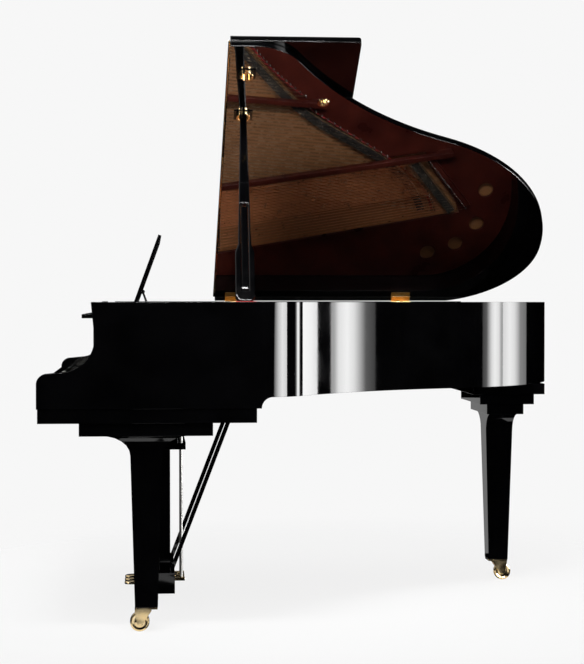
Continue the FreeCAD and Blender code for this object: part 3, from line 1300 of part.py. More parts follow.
def build_pedals():
    pivot_x, pivot_z = pedal_pivot()
    near = front + s.lyre_box_setback
    tip_x = near - s.pedal_reach
    half = s.pedal_thickness / 2
    neck = s.pedal_neck / 2
    wide = s.pedal_width / 2
    rear = pivot_x + s.pedal_tail
    drop = s.pedal_drop
    swell = tip_x + s.pedal_swell
    line = [(tip_x, pivot_z - drop), (swell, pivot_z - drop), (near, pivot_z), (rear, pivot_z)]
    side_view = [(x, z - half) for x, z in line] + [(x, z + half) for x, z in line[::-1]]
    pin_reach = neck + s.pedal_slot_gap + s.pedal_pin_length - s.pin_end_gap
    rod_top = keybed_bottom + s.pedal_rod_entry
    for label, turn in PEDALS:
        centre = turn * s.pedal_pitch
        plan = [
            (swell, -neck), (rear, -neck), (rear, neck), (swell, neck),
            (tip_x + wide, wide), (tip_x, wide / 2), (tip_x, -wide / 2), (tip_x + wide, -wide)]
        shape = doc.addObject("Part::Common", "Common")
        shape.Base = bar(side_view, s.pedal_width, y=centre)
        shape.Tool = bar(plan, 4 * s.pedal_lift, plane="XY_Plane", y=centre, z=pivot_z)
        pin = rod(pivot_x, centre - pin_reach, pivot_z, s.pedal_pin_radius, 2 * pin_reach, Vector(0, 1, 0))
        keep(fuse(shape, pin), "pedal_" + label)
        low = pivot_z + half + s.rest_gap
        push_rod = rod(front + s.pedal_rod_setback, centre, low, s.pedal_rod_radius, rod_top - low)
        keep(push_rod, "pedal_rod_" + label)


build_rim()
build_key_surround()
build_frame()
build_soundboard()
build_strings()
build_bridges()
build_plate()
build_keys()
build_key_frame()
build_hammers()
build_dampers()
build_fallboard()
build_desk()
build_lid()
build_props()
build_legs()
build_casters()
build_lyre()
build_pedals()


doc.recompute()
for item in doc.Objects:
    if "Invalid" in item.State or "Error" in item.State:
        raise RuntimeError("%s (%s) failed: %s" % (item.Name, item.Label, item.State))
for item in nodes:
    if item.Shape.isNull() or not item.Shape.isValid() or not item.Shape.Solids:
        raise RuntimeError("%s has no sound shape" % item.Label)
os.makedirs("parts", exist_ok=True)
for item in nodes:
    item.Shape.exportStep("parts/%s.step" % item.Label)
print("%d sub-parts written" % len(nodes))
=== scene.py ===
import bmesh
import bpy
import json
import math
from mathutils import Matrix, Vector


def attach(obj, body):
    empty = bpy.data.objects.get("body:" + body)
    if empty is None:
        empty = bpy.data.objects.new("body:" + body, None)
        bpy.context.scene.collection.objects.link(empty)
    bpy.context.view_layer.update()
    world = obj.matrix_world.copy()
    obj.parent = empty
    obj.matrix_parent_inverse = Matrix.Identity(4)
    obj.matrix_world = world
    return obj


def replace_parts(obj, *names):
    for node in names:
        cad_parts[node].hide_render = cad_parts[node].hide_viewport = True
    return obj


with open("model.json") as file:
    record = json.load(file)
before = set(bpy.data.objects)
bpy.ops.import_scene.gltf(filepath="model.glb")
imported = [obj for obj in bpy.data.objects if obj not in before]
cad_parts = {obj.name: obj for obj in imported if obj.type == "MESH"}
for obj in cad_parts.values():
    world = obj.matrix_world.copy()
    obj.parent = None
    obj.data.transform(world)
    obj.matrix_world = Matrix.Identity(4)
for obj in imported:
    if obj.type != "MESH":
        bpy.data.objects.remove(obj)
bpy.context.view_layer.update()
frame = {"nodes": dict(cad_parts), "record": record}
NODES = frame["nodes"]
SLOT_OF = {row["node"]: row["material_slot"] for row in frame["record"]["subparts"]}

# Places shared with the solids, in metres
FRONT = -0.8725
CASE_LENGTH = 1.745
CASE_HALF = 0.745
RIM_TOP = 0.983
KEY_TOP = 0.728
PLATE_TOP = 0.858
STRING_LEVEL = 0.870
BASS_LEVEL = 0.894
LID_ANGLE = math.radians(31)
LID_HINGE = Vector((0, 0.749, 0.9845))
LID_UNDERSIDE = 0.986
UP = Vector((0, 0, 1))


# Short ways to make objects and shader nodes
def new_object(name, data):
    """A new object in the scene, made from its data."""
    obj = bpy.data.objects.new(name, data)
    bpy.context.scene.collection.objects.link(obj)
    return obj


def aim(obj, target):
    direction = Vector(target) - obj.location
    obj.rotation_euler = direction.to_track_quat("-Z", "Y").to_euler()


def stage_mesh(name, shape):
    """A mesh of the studio, which is no part of the model."""
    mesh = bpy.data.meshes.new(name)
    shape.to_mesh(mesh)
    shape.free()
    piece = new_object(name, mesh)
    return piece


def new_material(name):
    material = bpy.data.materials.new(name)
    material.use_nodes = True
    return material


def set_inputs(node, values):
    for label, value in values.items():
        node.inputs[label].default_value = value


def calculate(tree, operation, first, second):
    """A math node; each of its two values is a socket or a plain number."""
    node = tree.nodes.new("ShaderNodeMath")
    node.operation = operation
    for socket, value in zip(node.inputs, (first, second)):
        if isinstance(value, (int, float)):
            socket.default_value = value
        else:
            tree.links.new(value, socket)
    return node.outputs[0]


def separate(tree, vector):
    """The X, Y and Z of a vector."""
    node = tree.nodes.new("ShaderNodeSeparateXYZ")
    tree.links.new(vector, node.inputs[0])
    return node.outputs


def distance(tree, vector, point):
    """How far a vector's end lies from a fixed point."""
    node = tree.nodes.new("ShaderNodeVectorMath")
    node.operation = "DISTANCE"
    node.inputs[1].default_value = point
    tree.links.new(vector, node.inputs[0])
    return node.outputs["Value"]


def map_range(tree, value, low, high, start, end, kind="LINEAR"):
    """A value between start and end, spread from low to high."""
    node = tree.nodes.new("ShaderNodeMapRange")
    node.interpolation_type = kind
    set_inputs(node, {"From Min": start, "From Max": end, "To Min": low, "To Max": high})
    tree.links.new(value, node.inputs["Value"])
    return node.outputs["Result"]


def color_ramp(tree, value, stops):
    """Colours along a value; each stop is a place and a colour."""
    node = tree.nodes.new("ShaderNodeValToRGB")
    elements = node.color_ramp.elements
    while len(elements) < len(stops):
        elements.new(0.5)
    for element, (place, color) in zip(elements, stops):
        element.position = place
        element.color = (*color, 1)
    tree.links.new(value, node.inputs["Fac"])
    return node.outputs["Color"]


def mix_shaders(tree, factor, first, second):
    node = tree.nodes.new("ShaderNodeMixShader")
    tree.links.new(factor, node.inputs[0])
    tree.links.new(first.outputs[0], node.inputs[1])
    tree.links.new(second.outputs[0], node.inputs[2])
    return node


# Camera at the photograph's viewpoint
CAMERA_PLACE = Vector((-0.5435, -5.745, 0.983))
CAMERA_VIEW = Vector((0.0835, 1, -0.01765))
CAMERA_LENS = 92.6
CAMERA_REACH = 60


def build_camera():
    data = bpy.data.cameras.new("camera")
    data.lens = CAMERA_LENS
    data.clip_end = CAMERA_REACH
    camera = new_object("camera", data)
    camera.location = CAMERA_PLACE
    aim(camera, CAMERA_PLACE + CAMERA_VIEW)
    bpy.context.scene.camera = camera


# Lamps over the piano: a place, the point that each faces, its size, its power and its spread in degrees.
# The low lamp lights the inside under the lid. Mirrors don't see the top lamp.
LAMPS = (
    ("key", (-0.9, -3.6, 4.6), (-0.1, 0.0, 0.85), (3.2, 2.2), 115, 180),
    ("inside", (-0.5, -1.75, 3.2), (-0.2, -0.25, 0.86), (1.4, 0.3), 15, 52),
    ("low", (1.0, -3.6, 1.5), (0.0, 0.7, 1.1), (1.2, 0.35), 7, 70),
    ("top", (0.4, 1.5, 5.5), (0, 0, 0), (5, 5), 110, 180),
)
UNMIRRORED_LAMP = "top"

# Upright light strips, which only mirrors see. The curved rim mirrors those on the treble side as pale bands,
# and the tail leg mirrors the faint one under the tail as its grey side.
# Each has a place, the point it faces, a width and height, a power and its brightness from side to side.
STRIPS = (
    ("strip_shoulder", (2.61, -3.03, 0.75), (-0.2, -0.7), (1.86, 1.3), 140,
     ((0.0, 0.1), (0.3, 0.7), (0.6, 1.0), (1.0, 0.8))),
    ("strip_waist", (2.966, -0.451, 0.75), (0.1, -0.65), (0.795, 1.3), 50,
     ((0.0, 0.06), (0.2, 0.12), (0.45, 0.85), (0.6, 1.0), (0.8, 0.8), (0.9, 0.4), (1.0, 0.3))),
    ("strip_tail", (1.70, 0.17, 0.75), (0.83, 0.05), (0.56, 1.3), 27,
     ((0.0, 0.9), (0.25, 1.0), (0.45, 0.75), (0.7, 0.2), (1.0, 0.1))),
    ("strip_keys", (-3.0, -2.6, 0.75), (-0.5, -0.3), (0.6, 1.3), 40,
     ((0.0, 0.2), (0.4, 1.0), (0.6, 1.0), (1.0, 0.2))),
    ("strip_leg", (0.54, 0.66, 0.32), (0.68, 0.22), (0.3, 0.6), 0.25,
     ((0.0, 0.8), (0.5, 1.0), (1.0, 0.8))),
)


def area_light(name, place, target, size, power):
    data = bpy.data.lights.new(name, "AREA")
    data.shape = "RECTANGLE"
    data.size, data.size_y = size
    data.energy = power
    lamp = new_object(name, data)
    lamp.location = place
    lamp.visible_camera = False
    aim(lamp, target)
    return lamp


def shade_strip(lamp, stops):
    """Brightness across the strip, so that its mirror image has soft sides."""
    lamp.data.use_nodes = True
    tree = lamp.data.node_tree
    place = tree.nodes.new("ShaderNodeNewGeometry")
    across = separate(tree, place.outputs["Parametric"])["X"]
    shade = color_ramp(tree, across, [(where, (level,) * 3) for where, level in stops])
    tree.links.new(shade, tree.nodes["Emission"].inputs["Strength"])


def build_lights():
    for name, place, target, size, power, spread in LAMPS:
        lamp = area_light(name, place, target, size, power)
        lamp.data.spread = math.radians(spread)
        lamp.visible_glossy = name != UNMIRRORED_LAMP
    for name, place, target, size, power, stops in STRIPS:
        lamp = area_light(name, place, (*target, place[2]), size, power)
        lamp.visible_diffuse = False
        shade_strip(lamp, stops)


# Black cloth round the studio, which only mirrors see, so that the lacquer stays black as in the photograph.
# It lies on the floor, cut out round each caster, and stands up all round, higher on the treble side.
CLOTH_RADII = [0.08 * step for step in range(1, 32)] + [7.5]
CLOTH_LEVEL = 0.003
CLOTH_TOP = 22
CLOTH_HIGH_TOP = 80
CLOTH_HIGH_SIDE = (-35, 180)
CLOTH_ROWS = 8
CLOTH_TURN = 5
CLOTH_BLACK = (0.0005, 0.0005, 0.0005, 1)
CUT_WIDTH = 0.08
CUT_START = 0.06
CUT_LENGTH = 0.33
CASTER_SPOTS = (Vector((-0.574, -0.635, 0)), Vector((-0.574, 0.635, 0)), Vector((0.702, 0.220, 0)))


def cloth_column(turn):
    """Points of the cloth at one azimuth: out along the floor, then up."""
    ray = Vector((math.sin(math.radians(turn)), -math.cos(math.radians(turn)), 0))
    high = CLOTH_HIGH_SIDE[0] <= turn <= CLOTH_HIGH_SIDE[1]
    top = math.radians(CLOTH_HIGH_TOP if high else CLOTH_TOP)
    column = [ray * radius + UP * CLOTH_LEVEL for radius in CLOTH_RADII]
    for row in range(1, CLOTH_ROWS + 1):
        rise = top * row / CLOTH_ROWS
        column.append((ray * math.cos(rise) + UP * math.sin(rise)) * CLOTH_RADII[-1])
    return column


def cloth_open(corner):
    """Whether the cloth is cut out here: beside a caster, or out from it to the end of the piano."""
    if corner.z > 2 * CLOTH_LEVEL:
        return False
    for spot in CASTER_SPOTS:
        gap = corner - spot
        outward = gap.x * math.copysign(1, spot.x)
        beside = CUT_START < abs(gap.y) < CUT_LENGTH and not spot.y < 0 < gap.y
        if abs(gap.x) < CUT_WIDTH and beside:
            return True
        if abs(gap.y) < CUT_WIDTH and 0 < outward < CUT_LENGTH:
            return True
    return False


def build_cloth():
    shape = bmesh.new()
    turns = range(-180, 180, CLOTH_TURN)
    columns = [[shape.verts.new(point) for point in cloth_column(turn)] for turn in turns]
    for left, right in zip(columns, columns[1:] + columns[:1]):
        for low in range(len(left) - 1):
            if not cloth_open(left[low + 1].co):
                shape.faces.new((left[low], right[low], right[low + 1], left[low + 1]))
    cloth = stage_mesh("cloth", shape)
    cloth.visible_camera = False
    cloth.visible_diffuse = False
    cloth.visible_shadow = False
    cloth.visible_transmission = False
    material = new_material("cloth")
    shader = material.node_tree.nodes["Principled BSDF"]
    set_inputs(shader, {"Base Color": CLOTH_BLACK, "Specular IOR Level": 0.0, "Roughness": 1.0})
    cloth.data.materials.append(material)


# Pale backdrop and floor: where they are seen they have one level, and a softer one lights the piano
PALE = (0.93, 0.93, 0.93, 1)
WHITE = (1, 1, 1, 1)
WORLD_LIGHT = 0.45
FLOOR_RADIUS = 2.6
FLOOR_CORNERS = 96
FLOOR_COLOR = (0.88, 0.88, 0.88, 1)
FLOOR_GLOW = 0.9
FLOOR_FADE = (1.2, 2.5)


def any_seen_ray(tree):
    """1 for rays that show the backdrop: seen directly, mirrored or through glass."""
    path = tree.nodes.new("ShaderNodeLightPath")
    seen = path.outputs["Is Camera Ray"]
    for label in ("Is Glossy Ray", "Is Transmission Ray"):
        seen = calculate(tree, "MAXIMUM", seen, path.outputs[label])
    return seen


def build_world():
    world = bpy.data.worlds.new("studio")
    bpy.context.scene.world = world
    world.use_nodes = True
    tree = world.node_tree
    tree.nodes.clear()
    soft = tree.nodes.new("ShaderNodeBackground")
    set_inputs(soft, {"Color": WHITE, "Strength": WORLD_LIGHT})
    pale = tree.nodes.new("ShaderNodeBackground")
    set_inputs(pale, {"Color": PALE})
    mix = mix_shaders(tree, any_seen_ray(tree), soft, pale)
    out = tree.nodes.new("ShaderNodeOutputWorld")
    tree.links.new(mix.outputs[0], out.inputs["Surface"])


def floor_material():
    material = new_material("floor")
    tree = material.node_tree
    tree.nodes.clear()
    diffuse = tree.nodes.new("ShaderNodeBsdfDiffuse")
    set_inputs(diffuse, {"Color": FLOOR_COLOR})
    glow = tree.nodes.new("ShaderNodeEmission")
    set_inputs(glow, {"Color": PALE})
    seen = calculate(tree, "MULTIPLY", any_seen_ray(tree), FLOOR_GLOW)
    surface = mix_shaders(tree, seen, diffuse, glow)
    clear = tree.nodes.new("ShaderNodeBsdfTransparent")
    where = tree.nodes.new("ShaderNodeTexCoord")
    out_from_middle = distance(tree, where.outputs["Object"], (0, 0, 0))
    fade = map_range(tree, out_from_middle, 0.0, 1.0, *FLOOR_FADE, kind="SMOOTHSTEP")
    edge = mix_shaders(tree, fade, surface, clear)
    out = tree.nodes.new("ShaderNodeOutputMaterial")
    tree.links.new(edge.outputs[0], out.inputs["Surface"])
    return material


def build_floor():
    """Pale round floor that takes the shadow and fades into the backdrop."""
    shape = bmesh.new()
    bmesh.ops.create_circle(shape, cap_ends=True, segments=FLOOR_CORNERS, radius=FLOOR_RADIUS)
    floor = stage_mesh("floor", shape)
    floor.data.materials.append(floor_material())


# Materials: each one is a small node tree on object coordinates, in metres
COAT_ROUGHNESS = 0.05
MIX_COLORS = (6, 7)
MIX_RESULT = 2


class Finish:
    """A material with one main shader, and short ways to drive it by textures."""

    def __init__(self, name, color, roughness, metallic=0.0, specular=0.5, coat=0.0):
        self.material = new_material(name)
        self.tree = self.material.node_tree
        self.shader = self.tree.nodes["Principled BSDF"]
        set_inputs(self.shader, {"Base Color": (*color, 1), "Roughness": roughness, "Metallic": metallic,
                                 "Specular IOR Level": specular, "Coat Weight": coat,
                                 "Coat Roughness": COAT_ROUGHNESS})
        self.where = self.tree.nodes.new("ShaderNodeTexCoord").outputs["Object"]

    def stretched(self, scale, turn=0.0):
        """Object coordinates, turned about Z and stretched."""
        mapping = self.tree.nodes.new("ShaderNodeMapping")
        set_inputs(mapping, {"Scale": scale, "Rotation": (0, 0, turn)})
        self.tree.links.new(self.where, mapping.inputs["Vector"])
        return mapping.outputs["Vector"]

    def noise(self, scale, detail, roughness=0.55, stretch=(1, 1, 1), turn=0.0):
        texture = self.tree.nodes.new("ShaderNodeTexNoise")
        set_inputs(texture, {"Scale": scale, "Detail": detail, "Roughness": roughness})
        self.tree.links.new(self.stretched(stretch, turn), texture.inputs["Vector"])
        return texture.outputs["Fac"]

    def waves(self, stretch, turn):
        """Wavy lines, as the year rings of wood."""
        texture = self.tree.nodes.new("ShaderNodeTexWave")
        texture.bands_direction = "Y"
        set_inputs(texture, {"Scale": 1.0, "Distortion": 3.0, "Detail": 2.0})
        self.tree.links.new(self.stretched(stretch, turn), texture.inputs["Vector"])
        return texture.outputs["Fac"]

    def blend(self, value, start, dark, end, light):
        """From a dark to a light colour along a value."""
        return color_ramp(self.tree, value, ((start, dark), (end, light)))

    def level(self, value, low, high, start=0.0, end=1.0):
        return map_range(self.tree, value, low, high, start, end)

    def mixed(self, factor, first, second):
        """Two colours, each a socket or a plain colour, mixed by a factor."""
        node = self.tree.nodes.new("ShaderNodeMix")
        node.data_type = "RGBA"
        self.tree.links.new(factor, node.inputs["Factor"])
        for place, color in zip(MIX_COLORS, (first, second)):
            if isinstance(color, tuple):
                node.inputs[place].default_value = (*color, 1)
            else:
                self.tree.links.new(color, node.inputs[place])
        return node.outputs[MIX_RESULT]

    def drive(self, label, value):
        self.tree.links.new(value, self.shader.inputs[label])

    def bump(self, value, strength, distance, rounding=0.0):
        """Small relief; with a rounding radius, sharp edges also catch the light."""
        node = self.tree.nodes.new("ShaderNodeBump")
        set_inputs(node, {"Strength": strength, "Distance": distance})
        self.tree.links.new(value, node.inputs["Height"])
        if rounding:
            bevel = self.tree.nodes.new("ShaderNodeBevel")
            set_inputs(bevel, {"Radius": rounding})
            self.tree.links.new(bevel.outputs["Normal"], node.inputs["Normal"])
        self.drive("Normal", node.outputs["Normal"])


def lacquer(name, ior, gloss, relief, rounding=0.0015):
    """Polished black: slight clouds in its gloss and a very fine relief."""
    finish = Finish(name, (0.0008, 0.0008, 0.0009), gloss[0])
    set_inputs(finish.shader, {"IOR": ior})
    cloud = finish.noise(scale=9, detail=3)
    fine = finish.noise(scale=900, detail=2)
    black = finish.blend(cloud, 0.3, (0.0005, 0.0005, 0.0006), 0.7, (0.0011, 0.0011, 0.0013))
    finish.drive("Base Color", black)
    finish.drive("Roughness", finish.level(cloud, *gloss, start=0.35, end=0.7))
    finish.bump(fine, strength=relief, distance=0.0002, rounding=rounding)
    return finish.material


def wood(name, dark, light, grain, gloss, turn=0.0, coat=0.0):
    """Year rings, darker pores and paler patches."""
    finish = Finish(name, light, roughness=0.4, coat=coat)
    rings = finish.waves((1.2, grain, grain), turn)
    pores = finish.noise(scale=1.0, detail=5, stretch=(6, 420, 420), turn=turn)
    patch = finish.noise(scale=2.5, detail=3)
    base = finish.blend(rings, 0.1, dark, 0.9, light)
    base = finish.mixed(finish.level(pores, 0.0, 0.35, start=0.45, end=0.75), base, dark)
    base = finish.mixed(finish.level(patch, 0.0, 0.25, start=0.3, end=0.7), base, light)
    finish.drive("Base Color", base)
    finish.drive("Roughness", finish.level(pores, *gloss))
    finish.bump(pores, strength=0.12, distance=0.0003)
    return finish.material


def cast(name, dark, light, metallic):
    """Painted cast iron with a fine sandy skin."""
    finish = Finish(name, light, roughness=0.35, metallic=metallic)
    patch = finish.noise(scale=7, detail=4)
    sand = finish.noise(scale=700, detail=3)
    paint = finish.blend(patch, 0.3, dark, 0.75, light)
    pits = finish.level(sand, 0.0, 0.4, start=0.4, end=0.8)
    finish.drive("Base Color", finish.mixed(pits, paint, dark))
    finish.drive("Roughness", finish.level(patch, 0.26, 0.42, start=0.3, end=0.7))
    finish.bump(sand, strength=0.25, distance=0.0006, rounding=0.003)
    return finish.material


def metal_finish(name, dark, light, gloss, scale=40):
    """Bare metal with smears and fine scratches."""
    finish = Finish(name, light, gloss[0], metallic=1.0)
    smear = finish.noise(scale=scale, detail=4)
    scratch = finish.noise(scale=3, detail=3, stretch=(30, 400, 400))
    finish.drive("Base Color", finish.blend(smear, 0.3, dark, 0.7, light))
    finish.drive("Roughness", finish.level(smear, *gloss, start=0.3, end=0.75))
    finish.bump(scratch, strength=0.04, distance=0.0002, rounding=0.0008)
    return finish


def metal(*look, **more):
    return metal_finish(*look, **more).material


def felt(name, dark, light):
    """Matt wool with loose fibres."""
    finish = Finish(name, light, roughness=0.95, specular=0.1)
    fibre = finish.noise(scale=1500, detail=5, roughness=0.7)
    patch = finish.noise(scale=60, detail=3)
    wool = finish.blend(patch, 0.3, dark, 0.7, light)
    finish.drive("Base Color", finish.mixed(finish.level(fibre, 0.0, 0.7, start=0.35, end=0.7), wool, dark))
    set_inputs(finish.shader, {"Sheen Weight": 0.25})
    finish.bump(fibre, strength=0.6, distance=0.0008)
    return finish.material


def graphite_top(name):
    """Maple with a blackened top face."""
    finish = Finish(name, (0.45, 0.30, 0.16), roughness=0.5)
    grain = finish.noise(scale=1.0, detail=4, stretch=(14, 380, 380))
    smear = finish.noise(scale=45, detail=4)
    side = finish.blend(grain, 0.3, (0.26, 0.15, 0.075), 0.7, (0.42, 0.27, 0.14))
    top = finish.blend(smear, 0.3, (0.012, 0.010, 0.009), 0.7, (0.035, 0.030, 0.027))
    facing = finish.tree.nodes.new("ShaderNodeNewGeometry")
    upward = separate(finish.tree, facing.outputs["Normal"])["Z"]
    finish.drive("Base Color", finish.mixed(finish.level(upward, 0.0, 1.0, start=0.7, end=0.9), side, top))
    finish.drive("Roughness", finish.level(smear, 0.4, 0.55))
    finish.bump(grain, strength=0.05, distance=0.0002, rounding=0.001)
    return finish.material


def key_white(name, thick=0.0025, blur=0.0001):
    """White top with a thin edge, pale wood below it."""
    finish = Finish(name, (0.80, 0.78, 0.72), roughness=0.16)
    cloud = finish.noise(scale=30, detail=3)
    grain = finish.noise(scale=1.0, detail=4, stretch=(14, 380, 380))
    top = finish.blend(cloud, 0.3, (0.76, 0.74, 0.68), 0.7, (0.82, 0.80, 0.74))
    body = finish.blend(grain, 0.35, (0.36, 0.23, 0.12), 0.7, (0.55, 0.38, 0.22))
    height = separate(finish.tree, finish.where)["Z"]
    edge = KEY_TOP - thick
    white = finish.level(height, 0.0, 1.0, start=edge - blur, end=edge + blur)
    finish.drive("Base Color", finish.mixed(white, body, top))
    finish.drive("Roughness", finish.level(white, 0.55, 0.14))
    finish.bump(grain, strength=0.03, distance=0.0002, rounding=0.0012)
    return finish.material


def plastic(name, dark, light, gloss):
    finish = Finish(name, light, gloss[0])
    cloud = finish.noise(scale=55, detail=4)
    grain = finish.noise(scale=1.0, detail=4, stretch=(40, 500, 500))
    finish.drive("Base Color", finish.blend(cloud, 0.3, dark, 0.7, light))
    finish.drive("Roughness", finish.level(grain, *gloss, start=0.3, end=0.7))
    finish.bump(grain, strength=0.08, distance=0.0002, rounding=0.0015)
    return finish.material


# Colours are dark and light, and gloss is the lowest and highest roughness
LACQUER_GLOSS = (0.025, 0.06)
BRASS_LOOK = {"dark": (0.80, 0.58, 0.28), "light": (0.94, 0.76, 0.46), "gloss": (0.08, 0.22)}
FINISHES = {
    "black_lacquer": lacquer("black_lacquer", ior=1.5, gloss=LACQUER_GLOSS, relief=0.02),
    "beech": wood("beech", (0.24, 0.14, 0.07), (0.42, 0.27, 0.14), grain=60, gloss=(0.35, 0.6)),
    "spruce": wood("spruce", (0.30, 0.12, 0.045), (0.46, 0.21, 0.085), grain=320, gloss=(0.22, 0.4),
                   turn=math.radians(-35), coat=0.3),
    "maple": wood("maple", (0.40, 0.24, 0.12), (0.56, 0.38, 0.21), grain=90, gloss=(0.3, 0.55), turn=0.3),
    "bronze_plate": cast("bronze_plate", (0.050, 0.007, 0.005), (0.15, 0.022, 0.011), metallic=0.35),
    "nickel_steel": metal("nickel_steel", (0.42, 0.42, 0.41), (0.66, 0.65, 0.63), (0.18, 0.32)),
    "string_steel": metal("string_steel", (0.20, 0.15, 0.10), (0.34, 0.27, 0.19), (0.2, 0.35)),
    "copper_winding": metal("copper_winding", (0.34, 0.10, 0.04), (0.56, 0.21, 0.09), (0.25, 0.42)),
    "rail_aluminium": metal("rail_aluminium", (0.48, 0.48, 0.48), (0.62, 0.62, 0.62), (0.3, 0.45)),
    "brass": metal("brass", **BRASS_LOOK),
    "key_white": key_white("key_white"),
    "sharp_black": plastic("sharp_black", (0.008, 0.008, 0.008), (0.018, 0.017, 0.017), (0.22, 0.38)),
    "damper_felt": plastic("damper_head", (0.006, 0.006, 0.006), (0.012, 0.012, 0.012), (0.12, 0.25)),
    "hammer_felt": felt("hammer_felt", (0.55, 0.50, 0.42), (0.74, 0.70, 0.62)),
    "red_felt": felt("red_felt", (0.22, 0.012, 0.012), (0.42, 0.03, 0.03)),
    "rubber": plastic("rubber", (0.012, 0.012, 0.012), (0.03, 0.03, 0.03), (0.55, 0.75)),
}
SATIN_BRASS = metal("satin_brass", (0.82, 0.55, 0.20), (0.95, 0.70, 0.34), (0.36, 0.46))
SATIN_STEEL = metal("satin_steel", (0.60, 0.60, 0.58), (0.78, 0.77, 0.75), (0.42, 0.5), scale=15)
MIRROR_LACQUER = lacquer("lid_underside", ior=3.0, gloss=(0.004, 0.012), relief=0.0008)
GRAPHITE_TOP = graphite_top("graphite_top")
ROUND_LACQUER = lacquer("rounded_edges", ior=1.5, gloss=LACQUER_GLOSS, relief=0.02, rounding=0.006)

# Nodes whose finish differs from that of their slot
SPECIAL_FINISHES = {
    **dict.fromkeys(("pedal_rod_damper", "pedal_rod_middle", "pedal_rod_soft"), SATIN_STEEL),
    **dict.fromkeys(("lid_main", "lid_flap", "long_prop", "short_prop"), ROUND_LACQUER),
    "bridges": GRAPHITE_TOP,
    "lid_hinge_rim_leaves": SATIN_BRASS,
}
FACING_DOWN = 0.9


def dress_nodes():
    """A finish on each solid, and a mirror on the lid's underside."""
    for name, node in NODES.items():
        node.data.materials.clear()
        node.data.materials.append(SPECIAL_FINISHES.get(name, FINISHES[SLOT_OF[name]]))
    lid = NODES["lid_main"].data
    lid.materials.append(MIRROR_LACQUER)
    down = Vector((0, -math.sin(LID_ANGLE), -math.cos(LID_ANGLE)))
    for face in lid.polygons:
        face.material_index = int(face.normal.dot(down) > FACING_DOWN)


# Mesh helpers: solids gather in one mesh per piece
def circle(count, turn=0.0):
    """Cosine and sine of evenly spaced angles."""
    angles = [turn + 2 * math.pi * step / count for step in range(count)]
    return [(math.cos(angle), math.sin(angle)) for angle in angles]


class Shape:
    """A mesh that grows by lofts, lathes and tubes, each with its own finish."""

    def __init__(self, *finishes):
        self.mesh = bmesh.new()
        self.finishes = finishes
        self.index = 0

    def use(self, finish):
        self.index = self.finishes.index(finish)

    def face(self, corners):
        self.mesh.faces.new(corners).material_index = self.index

    def loft(self, rings):
        """Closed skin through rings of equally many points."""
        rows = [[self.mesh.verts.new(point) for point in ring] for ring in rings]
        for low, high in zip(rows, rows[1:]):
            for start in range(len(low)):
                after = (start + 1) % len(low)
                self.face((low[start], low[after], high[after], high[start]))
        self.face(rows[0][::-1])
        self.face(rows[-1])

    def lathe(self, profile, base, axis=UP, count=12, turn=0.0):
        """Turned solid; each row of the profile is a height and a radius."""
        turned = axis.to_track_quat("Z", "Y")
        rings = []
        for height, radius in profile:
            ring = [Vector((radius * c, radius * s, height)) for c, s in circle(count, turn)]
            rings.append([Vector(base) + turned @ point for point in ring])
        self.loft(rings)

    def tube(self, points, radii, count=6):
        """Round bar through points that lie nearly in line."""
        axis = (points[-1] - points[0]).normalized()
        side = axis.orthogonal().normalized()
        other = axis.cross(side)
        rings = []
        for point, radius in zip(points, radii):
            rings.append([point + side * (radius * c) + other * (radius * s) for c, s in circle(count)])
        self.loft(rings)

    def slab(self, outline, depth):
        """Flat outline pushed along a vector."""
        self.loft([outline, [point + depth for point in outline]])

    def done(self, name, body, smooth=35, bevel=0.0):
        """Turn the mesh into one piece that rides on a body."""
        bmesh.ops.recalc_face_normals(self.mesh, faces=self.mesh.faces)
        data = bpy.data.meshes.new(name)
        self.mesh.to_mesh(data)
        self.mesh.free()
        for finish in self.finishes:
            data.materials.append(finish)
        for polygon in data.polygons:
            polygon.use_smooth = True
        data.set_sharp_from_angle(angle=math.radians(smooth))
        piece = new_object(name, data)
        if bevel:
            rounding = piece.modifiers.new("rounding", "BEVEL")
            rounding.width = bevel
            rounding.segments = 2
            rounding.limit_method = "ANGLE"
        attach(piece, body)
        return piece


def rectangle(left, right, low, high):
    return ((left, low), (right, low), (right, high), (left, high))


# Stringing: the same rules as the solids, in metres, with the strings of a note closer together
NOTES = 88
BASS_NOTES = 20
SINGLE_NOTES = 8
DAMPED_NOTES = 68
AGRAFFE_NOTES = 68
NOTE_PITCH = 0.0127
SECTION_GAPS = {21: 0.048, 48: 0.030, 69: 0.030}
BASS_LENGTH = 0.6762 * CASE_LENGTH
TENOR_LENGTH = 0.6074 * CASE_LENGTH
TOP_LENGTH = 0.052
TENOR_BEND = 1.795
LENGTH_BLEND = 4
BASS_TAPER = 0.008
BASS_SLOPE = math.asin(0.2252 / BASS_LENGTH)
BASS_SLOPE_LOSS = 0.15
TENOR_SLOPE = math.asin(0.1292 / TENOR_LENGTH)
STRIKE_SHARE = 0.125
STRIKE_SETBACK = 0.455
HITCH_LENGTH = 0.0335 * CASE_LENGTH
UNISON_SPACING = 0.0024
BASS_SPACING = 0.005
PIN_GAP = 0.045
PIN_ROW = 0.026


def note_place(note):
    """Where the hammer of a note strikes, across the case."""
    width = (NOTES - 1) * NOTE_PITCH + sum(SECTION_GAPS.values())
    passed = sum(gap for first, gap in SECTION_GAPS.items() if note >= first)
    return width / 2 - (note - 1) * NOTE_PITCH - passed


def speaking_length(note):
    """Doubling down the scale in the treble, levelling off to the tenor's length; nearly even in the bass."""
    if note <= BASS_NOTES:
        return BASS_LENGTH * (1 - BASS_TAPER * (note - 1))
    down_scale = (NOTES - note) / (NOTES - BASS_NOTES - 1)
    free = TOP_LENGTH * (TENOR_BEND * TENOR_LENGTH / TOP_LENGTH) ** down_scale
    return (free ** -LENGTH_BLEND + TENOR_LENGTH ** -LENGTH_BLEND) ** (-1 / LENGTH_BLEND)


